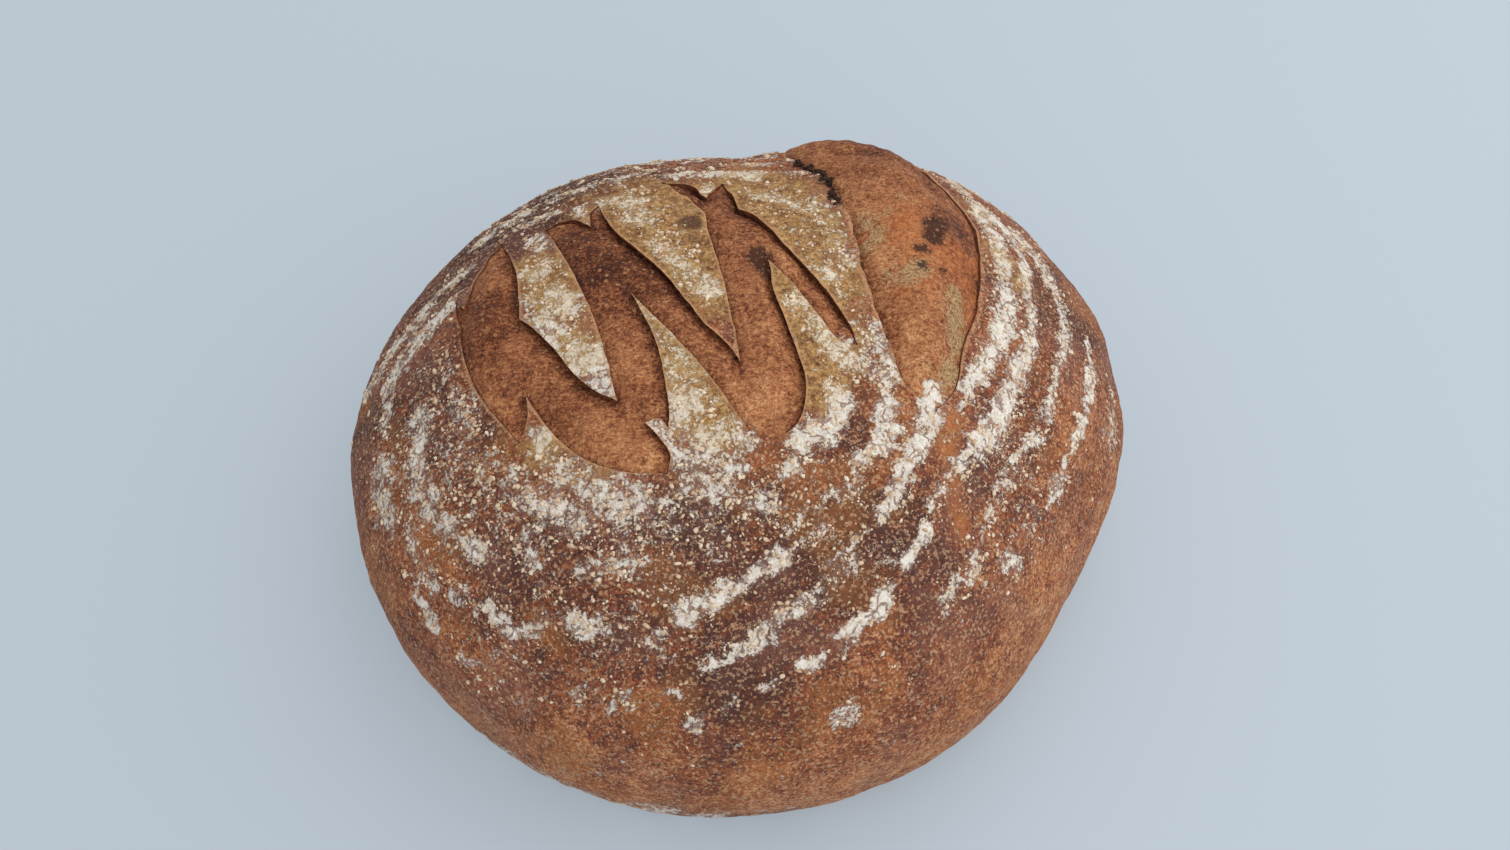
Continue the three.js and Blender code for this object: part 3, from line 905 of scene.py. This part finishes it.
# Node helpers
def addNode(tree, kind, feeds=None, **settings):
    made = tree.nodes.new(kind)
    for name, value in settings.items():
        setattr(made, name, value)
    for name, value in (feeds or {}).items():
        if isinstance(value, bpy.types.NodeSocket):
            tree.links.new(value, made.inputs[name])
        else:
            made.inputs[name].default_value = value
    return made


def calculate(tree, operation, first, second=0.0, third=0.0):
    feeds = {0: first, 1: second, 2: third}
    return addNode(tree, "ShaderNodeMath", feeds, operation=operation).outputs[0]


def multiply(tree, value, factor):
    return calculate(tree, "MULTIPLY", value, factor)


def scaleAdd(tree, value, factor, plus):
    return calculate(tree, "MULTIPLY_ADD", value, factor, plus)


# Adds each named value, times its share, to a total
def weigh(tree, total, values, shares):
    for name, share in shares.items():
        total = scaleAdd(tree, values[name], share, total)
    return total


# Smooth step of a value, 0 at low and 1 at high
def fade(tree, value, low, high):
    feeds = {"Value": value, "From Min": low, "From Max": high}
    return addNode(tree, "ShaderNodeMapRange", feeds, interpolation_type="SMOOTHSTEP").outputs[0]


def noiseAt(tree, place, scale, detail=3.0, roughness=0.55):
    feeds = {"Vector": place, "Scale": scale, "Detail": detail, "Roughness": roughness}
    return addNode(tree, "ShaderNodeTexNoise", feeds).outputs[0]


# Noise stretched so that it runs from 0 to 1
def evenNoise(tree, place, scale, detail=3.0, roughness=0.55, low=0.32):
    return fade(tree, noiseAt(tree, place, scale, detail, roughness), low, 1 - low)


def readValue(tree, name):
    return addNode(tree, "ShaderNodeAttribute", attribute_name=name).outputs["Fac"]


# A colour as it looks on a screen, 0 to 255, lightened and warmed for the dim cool light on the loaf
def tone(red, green, blue):
    values = []
    for level, lift in ((red, 1.12), (green, 1.02), (blue, 0.86)):
        share = level / 255
        linear = share / 12.92 if share <= 0.04045 else ((share + 0.055) / 1.055) ** 2.4
        values.append(min(1.0, linear * lift))
    return (*values, 1.0)


def asColour(value):
    return value if isinstance(value, bpy.types.NodeSocket) else tone(*value)


# Lays one colour over another, by a mask times an amount
def lay(tree, under, over, mask, amount=1.0):
    share = mask if amount == 1.0 else multiply(tree, mask, amount)
    feeds = {0: share, 6: asColour(under), 7: asColour(over)}
    return addNode(tree, "ShaderNodeMix", feeds, data_type="RGBA").outputs[2]


# Colour from a value. Each stop is a place, then red, green and blue
def colourRamp(tree, value, stops):
    ramp = addNode(tree, "ShaderNodeValToRGB", {"Fac": value})
    elements = ramp.color_ramp.elements
    for number, (place, *colour) in enumerate(stops):
        element = elements[number] if number < 2 else elements.new(place)
        element.position = place
        element.color = tone(*colour)
    return ramp.outputs["Color"]


def newGroup(name, takes, gives):
    group = bpy.data.node_groups.new(name, "ShaderNodeTree")
    kinds = {"value": "NodeSocketFloat", "colour": "NodeSocketColor", "vector": "NodeSocketVector"}
    for direction, sockets in (("INPUT", takes), ("OUTPUT", gives)):
        for socket, kind in sockets.items():
            group.interface.new_socket(name=socket, in_out=direction, socket_type=kinds[kind])
    start = group.nodes.new("NodeGroupInput")
    end = group.nodes.new("NodeGroupOutput")
    return group, start.outputs, end.inputs


def placeGroup(tree, group, feeds):
    return addNode(tree, "ShaderNodeGroup", feeds, node_tree=group).outputs


grainLook = {
    "mottle": {"detail": 3, "roughness": 0.6, "low": 0.3},
    "grain": {"scale": 0.75, "detail": 3, "roughness": 0.65},  # scales are in waves to the mm
    "fine": {"scale": 1.6, "detail": 2, "roughness": 0.65},
    "fleck": {"scale": 1.0, "detail": 2, "roughness": 0.6},
    "pitShade": {"scale": 0.85, "detail": 2, "roughness": 0.55},
    "pitEdge": (0.38, 0.3),
    "dotScale": 0.5,
    "heights": {"Grain": 0.4, "Mottle": 0.3, "Fine": 0.2, "Specks": 0.35, "ShadedPits": -0.45},
}


# Grain of baked dough: slow mottling, fine grain, pale specks, and pits which the finishes darken as painted
# shade
def makeGrainGroup():
    look = grainLook
    takes = {"Place": "vector", "Mottle Size": "value", "Speck Cover": "value"}
    names = ("Mottle", "Grain", "Fine", "Specks", "ShadedPits", "Height")
    group, given, gives = newGroup("bakedGrain", takes, dict.fromkeys(names, "value"))
    place, cover = given["Place"], given["Speck Cover"]
    made = {}
    scale = calculate(group, "DIVIDE", 1.0, given["Mottle Size"])
    made["Mottle"] = evenNoise(group, place, scale, **look["mottle"])
    made["Grain"] = evenNoise(group, place, **look["grain"])
    made["Fine"] = evenNoise(group, place, **look["fine"])
    # specks are ragged flecks, and round dots in a share of the cells
    limit = scaleAdd(group, cover, -0.2, 0.68)
    flecks = calculate(group, "SUBTRACT", noiseAt(group, place, **look["fleck"]), limit)
    feeds = {"Vector": place, "Scale": look["dotScale"], "Randomness": 1.0}
    cells = addNode(group, "ShaderNodeTexVoronoi", feeds)
    split = addNode(group, "ShaderNodeSeparateColor", {"Color": cells.outputs["Color"]})
    chosen = fade(group, calculate(group, "SUBTRACT", cover, split.outputs[0]), 0.0, 0.1)
    size = scaleAdd(group, split.outputs[1], 0.16, 0.16)
    dot = calculate(group, "SUBTRACT", size, cells.outputs["Distance"])
    dots = multiply(group, chosen, fade(group, dot, -0.06, 0.06))
    made["Specks"] = calculate(group, "MAXIMUM", fade(group, flecks, 0.0, 0.05), multiply(group, dots, 0.8))
    made["ShadedPits"] = fade(group, noiseAt(group, place, **look["pitShade"]), *look["pitEdge"])
    made["Height"] = weigh(group, 0.0, made, look["heights"])
    for name in names:
        group.links.new(made[name], gives[name])
    return group


flourLook = {
    "broad": {"scale": 0.13, "detail": 2, "roughness": 0.5, "low": 0.28},
    "coarse": {"scale": 0.36, "detail": 4, "roughness": 0.72, "low": 0.3},
    "fine": {"scale": 1.1, "detail": 3, "roughness": 0.65, "low": 0.28},
    "scatter": {"coarse": 0.46, "broad": 0.22, "fine": 0.32},
    "height": {"coarse": -0.5, "fine": 0.35},
    "crackBend": 7.0,
    "crackScale": 0.24,
    "crackEdge": (0.11, 0.04),
    "colours": ((0.0, 184, 172, 168), (0.35, 208, 202, 202), (0.8, 227, 227, 229)),
}


# Flour caked on the crust: crumbly edges, loose specks, and thin cracks where it is thick
def makeFlourGroup():
    look = flourLook
    kinds = {"Mask": "value", "Veil": "value", "Height": "value", "Colour": "colour"}
    group, given, gives = newGroup("cakedFlour", {"Place": "vector", "Cover": "value"}, kinds)
    place, cover = given["Place"], given["Cover"]
    noises = {name: evenNoise(group, place, **look[name]) for name in ("broad", "coarse", "fine")}
    scatter = scaleAdd(group, weigh(group, 0.0, noises, look["scatter"]), 1.25, -0.11)
    over = calculate(group, "SUBTRACT", cover, scatter)
    bend = addNode(group, "ShaderNodeTexNoise", {"Vector": place, "Scale": 0.22, "Detail": 3.0})
    feeds = {0: bend.outputs["Color"], 1: (look["crackBend"],) * 3, 2: place}
    bent = addNode(group, "ShaderNodeVectorMath", feeds, operation="MULTIPLY_ADD").outputs[0]
    feeds = {"Vector": bent, "Scale": look["crackScale"], "Randomness": 1.0}
    cells = addNode(group, "ShaderNodeTexVoronoi", feeds, feature="DISTANCE_TO_EDGE")
    patchy = fade(group, noiseAt(group, place, 0.3, 2), 0.46, 0.56)
    crack = multiply(group, fade(group, cells.outputs["Distance"], *look["crackEdge"]), patchy)
    mask = multiply(group, fade(group, over, -0.02, 0.05), scaleAdd(group, crack, -0.9, 1.0))
    veil = fade(group, scaleAdd(group, scatter, -0.55, cover), -0.08, 0.5)
    tint = scaleAdd(group, noises["fine"], 0.3, multiply(group, over, 1.5))
    made = {
        "Mask": mask,
        "Veil": multiply(group, veil, 0.5),
        "Height": multiply(group, mask, weigh(group, 1.0, noises, look["height"])),
        "Colour": colourRamp(group, tint, look["colours"]),
    }
    for name, result in made.items():
        group.links.new(result, gives[name])
    return group


grainGroup = makeGrainGroup()
flourGroup = makeFlourGroup()


# A new material, and the position on the loaf in millimetres
def newFinish(name):
    material = bpy.data.materials.new(name)
    material.use_nodes = True
    tree = material.node_tree
    where = addNode(tree, "ShaderNodeTexCoord").outputs["Object"]
    feeds = {0: where, 1: (1 / metre,) * 3}
    return material, tree, addNode(tree, "ShaderNodeVectorMath", feeds, operation="MULTIPLY").outputs[0]


def placeGrain(tree, place, look):
    feeds = {"Place": place, "Mottle Size": look["mottleSize"], "Speck Cover": look["speckCover"]}
    return placeGroup(tree, grainGroup, feeds)


# Mask from a value of the loaf, its edge roughened by shares of the grain
def patchMask(tree, name, grain, shares, low, high):
    return fade(tree, weigh(tree, readValue(tree, name), grain, shares), low, high)


def finishSurface(material, colour, roughness, height, depth):
    tree = material.node_tree
    shader = tree.nodes["Principled BSDF"]
    bump = addNode(tree, "ShaderNodeBump", {"Height": height, "Strength": 1.0, "Distance": depth * metre})
    tree.links.new(colour, shader.inputs["Base Color"])
    tree.links.new(roughness, shader.inputs["Roughness"])
    tree.links.new(bump.outputs["Normal"], shader.inputs["Normal"])
    shader.inputs["Specular IOR Level"].default_value = 0.14
    return material


# Colours are red, green and blue. An edge is shares of the grain, then where its mask starts and is full
crustLook = {
    "mottleSize": 4.5,
    "speckCover": 0.68,
    "bakeStart": -0.01,
    "bakeShares": {"patches": 0.5, "slow": 0.28, "Mottle": 0.28, "Grain": 0.38, "Fine": 0.36},
    "bake": (
        (0.0, 204, 156, 120), (0.25, 174, 120, 86), (0.5, 144, 87, 60), (0.75, 110, 63, 49),
        (1.0, 74, 48, 46),
    ),
    "mauve": (122, 86, 80),
    "mauveShare": 0.4,
    "gold": (168, 112, 64),
    "goldShare": 0.3,
    "speck": (224, 188, 156),
    "speckShare": 0.62,
    "tanEdge": ({"Mottle": 0.4}, 0.45, 0.95),
    "tanShares": {"Mottle": 0.3, "Grain": 0.5, "Fine": 0.2},
    "tan": ((0.1, 98, 68, 50), (0.45, 148, 111, 74), (0.9, 194, 160, 114)),
    "streakEdge": ({"Mottle": 0.3}, 0.4, 1.1),
    "streak": ((0.0, 158, 92, 54), (1.0, 206, 142, 88)),
    "streakShare": 0.55,
    "scorchEdge": ({"Grain": 0.5}, 0.75, 1.0),
    "scorch": (84, 56, 48),
    "scorchShare": 0.85,
    # colour of the painted shade in the pits
    "pitShade": (66, 38, 30),
    "pitShadeShare": 0.6,
    "veil": (168, 154, 154),
    "tanVeil": (190, 163, 118),
    "tanFlour": (216, 200, 168),
    "tanFlourShare": 0.4,
    # torn edges: partly their own pale colour, partly a painted highlight
    "tornEdge": ({"Fine": 0.4}, 1.1, 0.4),
    "torn": (206, 164, 130),
    "paleEdgeAndHighlightShare": 0.5,
    "burntEdge": ({"Grain": 1.6}, 2.7, 1.5),
    "burnt": (44, 30, 27),
    "relief": 0.5,
}


# Crust: gold to dark red-brown, tan where the skin stretched late, flour, pale torn edges that are partly a
# painted highlight, and painted shade in the pits
def makeCrustFinish():
    look = crustLook
    material, tree, place = newFinish("crustFinish")
    grain = placeGrain(tree, place, look)
    slow = evenNoise(tree, place, 0.07, 3, 0.6)
    values = {"patches": readValue(tree, "bakeToneWithPaintedLight"), "slow": slow, **dict(grain.items())}
    colour = colourRamp(tree, weigh(tree, look["bakeStart"], values, look["bakeShares"]), look["bake"])
    # slow drift of the hue: mauve here, gold there
    drift = noiseAt(tree, place, 0.04, 3, 0.5)
    colour = lay(tree, colour, look["mauve"], fade(tree, drift, 0.5, 0.66), look["mauveShare"])
    colour = lay(tree, colour, look["gold"], fade(tree, drift, 0.5, 0.36), look["goldShare"])
    colour = lay(tree, colour, lay(tree, colour, look["speck"], 0.6), grain["Specks"], look["speckShare"])
    tan = patchMask(tree, "tanSkin", grain, *look["tanEdge"])
    tanColour = colourRamp(tree, weigh(tree, 0.0, grain, look["tanShares"]), look["tan"])
    colour = lay(tree, colour, tanColour, tan)
    streak = patchMask(tree, "orangeStreak", grain, *look["streakEdge"])
    colour = lay(tree, colour, colourRamp(tree, grain["Grain"], look["streak"]), streak, look["streakShare"])
    scorch = patchMask(tree, "scorchSpot", grain, *look["scorchEdge"])
    colour = lay(tree, colour, look["scorch"], scorch, look["scorchShare"])
    # painted shade darkens the pits
    colour = lay(tree, colour, look["pitShade"], grain["ShadedPits"], look["pitShadeShare"])
    # flour, thin and yellowish on the tan skin
    flour = placeGroup(tree, flourGroup, {"Place": place, "Cover": readValue(tree, "flourCover")})
    veil = multiply(tree, flour["Veil"], scaleAdd(tree, tan, 0.8, 0.8))
    colour = lay(tree, colour, lay(tree, look["veil"], look["tanVeil"], tan), veil)
    flourColour = lay(tree, flour["Colour"], look["tanFlour"], tan, look["tanFlourShare"])
    colour = lay(tree, colour, flourColour, flour["Mask"])
    # the skin's torn edges are pale, partly their own colour and partly a painted highlight, and black along
    # the ear
    torn = multiply(tree, patchMask(tree, "edgeAway", grain, *look["tornEdge"]), readValue(tree, "openShare"))
    colour = lay(tree, colour, look["torn"], torn, look["paleEdgeAndHighlightShare"])
    burnt = patchMask(tree, "earAway", grain, *look["burntEdge"])
    burnt = multiply(tree, burnt, fade(tree, readValue(tree, "earBurn"), 0.1, 0.5))
    colour = lay(tree, colour, look["burnt"], burnt)
    height = scaleAdd(tree, flour["Height"], 0.8, grain["Height"])
    return finishSurface(material, colour, scaleAdd(tree, flour["Mask"], 0.2, 0.66), height, look["relief"])


doughLook = {
    "mottleSize": 4.0,
    "speckCover": 0.3,
    "fibreTurn": -24,
    "fibreScale": (0.6, 1.5, 1.0),
    "lightStart": -0.1,
    "lightShares": {
        "patches": 0.42, "slow": 0.14, "Mottle": 0.18, "fibre": 0.22, "Grain": 0.3, "Fine": 0.26,
        # lipShade and flushShade darken the colour as painted shade
        "lipShade": -0.17, "flushShade": -0.07, "burst": 0.11,
    },
    "light": (
        (0.0, 62, 33, 23), (0.25, 108, 62, 41), (0.5, 150, 97, 67), (0.75, 182, 130, 93),
        (1.0, 212, 168, 128),
    ),
    # masks of the painted shade in under the lips and along the flush edges
    "lipEdge": ({"Grain": 0.8}, 4.2, 0.4),
    "flushEdge": ({}, 1.8, 0.0),
    "redEdge": ({"Mottle": 0.6}, 0.5, 1.2),
    "red": ((0.0, 146, 76, 44), (1.0, 196, 124, 74)),
    "redShare": 0.6,
    "greenEdge": ({"Mottle": 0.45, "Grain": 0.6}, 0.8, 1.35),
    "green": ((0.0, 118, 95, 68), (1.0, 188, 164, 128)),
    "greenShare": 0.85,
    "scorchEdge": ({"Grain": 0.5}, 0.4, 0.8),
    "scorch": (58, 32, 26),
    "scorchShare": 0.92,
    "speck": (218, 170, 132),
    "speckShare": 0.4,
    # colour of the painted shade in the pits
    "pitShade": (76, 42, 30),
    "pitShadeShare": 0.45,
    "relief": 0.45,
}


# Torn dough in the slashes and the burst: fine fibres across the tear, painted shade in under the lips and
# the ear, and a thinner painted shade along the flush edges and the rim
def makeDoughFinish():
    look = doughLook
    material, tree, place = newFinish("doughFinish")
    grain = placeGrain(tree, place, look)
    turn = (0, 0, math.radians(look["fibreTurn"]))
    feeds = {"Vector": place, "Rotation": turn, "Scale": look["fibreScale"]}
    turned = addNode(tree, "ShaderNodeMapping", feeds).outputs[0]
    opened = readValue(tree, "openShare")
    values = {
        "patches": readValue(tree, "doughTone"),
        "slow": evenNoise(tree, place, 0.08, 2),
        "fibre": evenNoise(tree, turned, 1.0, 3, 0.65),
        # painted shade in under the lifted lips and the ear, and a thinner painted shade along the flush
        # edges and the burst's rim
        "lipShade": multiply(tree, patchMask(tree, "lipAway", grain, *look["lipEdge"]), opened),
        "flushShade": multiply(tree, patchMask(tree, "flushAway", grain, *look["flushEdge"]), opened),
        "burst": readValue(tree, "burstShare"),
        **dict(grain.items()),
    }
    colour = colourRamp(tree, weigh(tree, look["lightStart"], values, look["lightShares"]), look["light"])
    red = patchMask(tree, "doughRed", grain, *look["redEdge"])
    colour = lay(tree, colour, colourRamp(tree, grain["Grain"], look["red"]), red, look["redShare"])
    green = patchMask(tree, "doughGreen", grain, *look["greenEdge"])
    colour = lay(tree, colour, colourRamp(tree, grain["Fine"], look["green"]), green, look["greenShare"])
    scorch = patchMask(tree, "doughScorch", grain, *look["scorchEdge"])
    colour = lay(tree, colour, look["scorch"], scorch, look["scorchShare"])
    colour = lay(tree, colour, look["speck"], grain["Specks"], look["speckShare"])
    # painted shade darkens the pits
    colour = lay(tree, colour, look["pitShade"], grain["ShadedPits"], look["pitShadeShare"])
    # flour bridges a cut only where it closes
    cover = multiply(tree, readValue(tree, "flourCover"), fade(tree, opened, 0.7, 0.2))
    flour = placeGroup(tree, flourGroup, {"Place": place, "Cover": cover})
    colour = lay(tree, colour, flour["Colour"], flour["Mask"])
    height = scaleAdd(tree, values["fibre"], 0.3, grain["Height"])
    height = scaleAdd(tree, flour["Height"], 0.8, height)
    return finishSurface(material, colour, scaleAdd(tree, grain["Grain"], 0.15, 0.6), height, look["relief"])


wallLook = {
    "mottleSize": 2.5,
    "speckCover": 0.2,
    "wall": ((0.0, 84, 48, 34), (1.0, 128, 78, 54)),
    "burntEdge": ({}, 6.0, 3.0),
    "burnt": (46, 30, 26),
    "relief": 0.3,
}


# The crust's broken thickness: dark and dry, burnt black along the top of the ear
def makeWallFinish():
    look = wallLook
    material, tree, place = newFinish("wallFinish")
    grain = placeGrain(tree, place, look)
    burnt = patchMask(tree, "earAway", grain, *look["burntEdge"])
    burnt = multiply(tree, burnt, readValue(tree, "earBurn"))
    colour = lay(tree, colourRamp(tree, grain["Mottle"], look["wall"]), look["burnt"], burnt)
    roughness = scaleAdd(tree, grain["Grain"], 0.15, 0.7)
    return finishSurface(material, colour, roughness, grain["Height"], look["relief"])


finishes = (makeCrustFinish(), makeDoughFinish(), makeWallFinish())
print("finishes made")

loaf = makeDome("loafSurface", meshGrid["crustHalf"], meshGrid["crustLowerRings"], crustLift, 0)
fillSlots(loaf, finishes, 0)
print("crust dome", len(loaf.data.polygons))
for cut in slashes + (burst,):
    cutter = makeCutter(cut)
    fillSlots(cutter, finishes, 2)
    applyBoolean(loaf, cutter, "DIFFERENCE")
    print("cut", cut["name"], len(loaf.data.polygons))
dough = makeDome(
    "doughDome", meshGrid["doughHalf"], meshGrid["doughLowerRings"], doughLift, meshGrid["doughBase"]
)
fillSlots(dough, finishes, 1)
print("dough dome", len(dough.data.polygons))
applyBoolean(loaf, dough, "UNION")
print("joined", len(loaf.data.polygons))

activate(loaf)
bpy.ops.object.shade_smooth_by_angle(angle=math.radians(42))
loaf.data.calc_loop_triangles()
print("loaf triangles", len(loaf.data.loop_triangles))

measureLoaf(loaf)
print("loaf measured")

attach(loaf, "root")
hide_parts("loaf")


# Loose lumps, copies of one small ball pressed into the crust at given places of the plan
def scatterCrumbs(name, crumbs, spots, widths, draw):
    deselectAll()
    bpy.ops.mesh.primitive_ico_sphere_add(subdivisions=1, radius=1)
    piece = bpy.context.object
    piece.name = name
    ball = readPoints(piece)
    bpy.ops.object.mode_set(mode="EDIT")
    for doubling in range(int(math.log2(len(spots)))):
        bpy.ops.mesh.select_all(action="SELECT")
        bpy.ops.mesh.duplicate()
    bpy.ops.object.mode_set(mode="OBJECT")
    on, normal = domeAbove(spots)
    centre = on + normal * (crustLift(on) + crumbs["rise"] * widths)[:, None]
    along = np.cross(normal, draw.normal(size=normal.shape))
    along /= np.linalg.norm(along, axis=1)[:, None]
    across = np.cross(normal, along)
    rough = draw.uniform(0.65, 1.25, (len(spots), len(ball), 1)) * ball[None]
    size = widths[:, None] * np.array(crumbs["halfSizes"]) * draw.uniform(0.75, 1.25, (len(spots), 3))
    rough *= size[:, None]
    points = centre[:, None] + rough[..., :1] * along[:, None]
    points += rough[..., 1:2] * across[:, None] + rough[..., 2:] * normal[:, None]
    writePoints(piece, points.reshape(-1, 3) * metre)
    fillSlots(piece, (makeCrumbFinish(crumbs),), 0)
    activate(piece)
    bpy.ops.object.shade_smooth()
    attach(piece, "root")
    print(name, len(piece.data.polygons))


def makeCrumbFinish(look):
    material, tree, place = newFinish(look["finish"])
    grain = placeGrain(tree, place, look)
    colour = colourRamp(tree, grain["Mottle"], look["colours"])
    return finishSurface(material, colour, scaleAdd(tree, grain["Grain"], 0.1, 0.8), grain["Height"], 0.15)


flourCrumbs = {
    "count": 8192,          # a power of 2
    "tries": 60000,
    "width": (0.5, 1.9),
    "smallShare": 3,        # higher makes more small ones
    "halfSizes": (0.5, 0.36, 0.28),
    "rise": 0.05,           # share of the width by which its middle stands out
    "clear": 1.4,           # mm from a torn edge
    "rim": 0.985,           # none beyond this share of the outline
    "seed": 5,
    "finish": "flourFinish",
    "colours": ((0.0, 180, 150, 122), (1.0, 224, 216, 206)),
    "mottleSize": 3.0,
    "speckCover": 0.1,
}
draw = np.random.default_rng(flourCrumbs["seed"])
tries = draw.uniform((-112, -102), (112, 102), (flourCrumbs["tries"], 2))
away = tries - np.array(loafShape["centre"])
share = np.hypot(away[:, 0], away[:, 1]) / outlineRadius(np.arctan2(away[:, 1], away[:, 0]))
tries = tries[share < flourCrumbs["rim"]]
# likelier where flour lies thick, in clusters, and never in a cut or on its edge
tryPoints = domeAbove(tries)[0]
cover = flourCover(tryPoints)
chance = smoothStep(cover, 0.12, 0.6) * (1 - 0.5 * smoothStep(cover, 0.6, 0.95)) + 0.012
chance *= 0.06 + smoothStep(stray(tryPoints * 1.5), 0.0, 1.1)
for cut in slashes + (burst,):
    chance = np.where(isInside(cut["outline"], tries), 0, chance)
for finder in (flushEdge, lipEdge, earEdge, rimEdge):
    chance = np.where(distanceTo(finder, tries) < flourCrumbs["clear"], 0, chance)
spots = tries[draw.choice(len(tries), flourCrumbs["count"], replace=False, p=chance / chance.sum())]
widths = draw.uniform(0, 1, len(spots)) ** flourCrumbs["smallShare"]
widths = flourCrumbs["width"][0] + np.ptp(flourCrumbs["width"]) * widths
scatterCrumbs("flourCrumbs", flourCrumbs, spots, widths, draw)

burntCrumbs = {
    "count": 64,            # a power of 2
    "width": (1.0, 2.3),
    "halfSizes": (0.5, 0.36, 0.28),
    "rise": 0.12,
    "shift": (-0.3, 0.1),   # mm from the ear's edge
    "jitter": 0.5,
    "burnt": 0.35,          # only where the ear burnt more than this
    "seed": 8,
    "finish": "burntFinish",
    "colours": ((0.0, 36, 24, 22), (1.0, 66, 44, 36)),
    "mottleSize": 3.0,
    "speckCover": 0.1,
}
draw = np.random.default_rng(burntCrumbs["seed"])
ear = burst["leftEdge"]
ear = ear[earBurn(ear) > burntCrumbs["burnt"]]
spots = ear[draw.integers(0, len(ear), burntCrumbs["count"])]
spots = spots + np.array(burntCrumbs["shift"]) + draw.normal(0, burntCrumbs["jitter"], spots.shape)
widths = draw.uniform(*burntCrumbs["width"], len(spots))
scatterCrumbs("burntCrumbs", burntCrumbs, spots, widths, draw)

# Floor, camera and lights
studio = {
    "floorSize": 6,
    "floorColour": (0.23, 0.262, 0.292, 1),
    "floorGlow": (0.48, 0.55, 0.615, 1),  # keeps the floor pale close to the loaf
    "floorGlowStrength": 0.5,
    "floorRoughness": 0.5,
    "target": (4.2, 36.6, 0.0),
    "distance": 650.0,
    "elevation": 55.0,
    "viewAngle": 40.0,
    "sensor": 36.0,
    "sky": (0.93, 0.96, 1, 1),
    "skyStrength": 0.75,
    # place in metres, turn in degrees, size in metres, watts
    "lights": (
        ((0.9, 0.5, 0.9), (-26, 42, 0), 2.2, 12.5),
        ((0.5, -1.0, 0.8), (50, 20, 0), 1.4, 6),
    ),
}

deselectAll()
bpy.ops.mesh.primitive_plane_add(size=studio["floorSize"])
floor = bpy.context.object
floor.name = "floor"
floorFinish = bpy.data.materials.new("floorFinish")
floorFinish.use_nodes = True
floorShader = floorFinish.node_tree.nodes["Principled BSDF"]
floorShader.inputs["Base Color"].default_value = studio["floorColour"]
floorShader.inputs["Emission Color"].default_value = studio["floorGlow"]
floorShader.inputs["Emission Strength"].default_value = studio["floorGlowStrength"]
floorShader.inputs["Roughness"].default_value = studio["floorRoughness"]
floor.data.materials.append(floorFinish)

tilt = math.radians(studio["elevation"])
back = studio["distance"] * math.cos(tilt)
up = studio["distance"] * math.sin(tilt)
x, y, z = studio["target"]
bpy.ops.object.camera_add(
    location=(x * metre, (y - back) * metre, (z + up) * metre), rotation=(math.pi / 2 - tilt, 0, 0)
)
camera = bpy.context.object
camera.name = "camera"
camera.data.sensor_width = studio["sensor"]
camera.data.lens = studio["sensor"] / 2 / math.tan(math.radians(studio["viewAngle"] / 2))
bpy.context.scene.camera = camera

world = bpy.data.worlds.new("studio")
world.use_nodes = True
sky = world.node_tree.nodes["Background"]
sky.inputs["Color"].default_value = studio["sky"]
sky.inputs["Strength"].default_value = studio["skyStrength"]
bpy.context.scene.world = world
for place, turn, size, watts in studio["lights"]:
    rotation = [math.radians(angle) for angle in turn]
    bpy.ops.object.light_add(type="AREA", location=place, rotation=rotation)
    lamp = bpy.context.object
    lamp.data.size = size
    lamp.data.energy = watts
bpy.context.scene.view_settings.view_transform = "Standard"
print("floor, camera and lights placed")
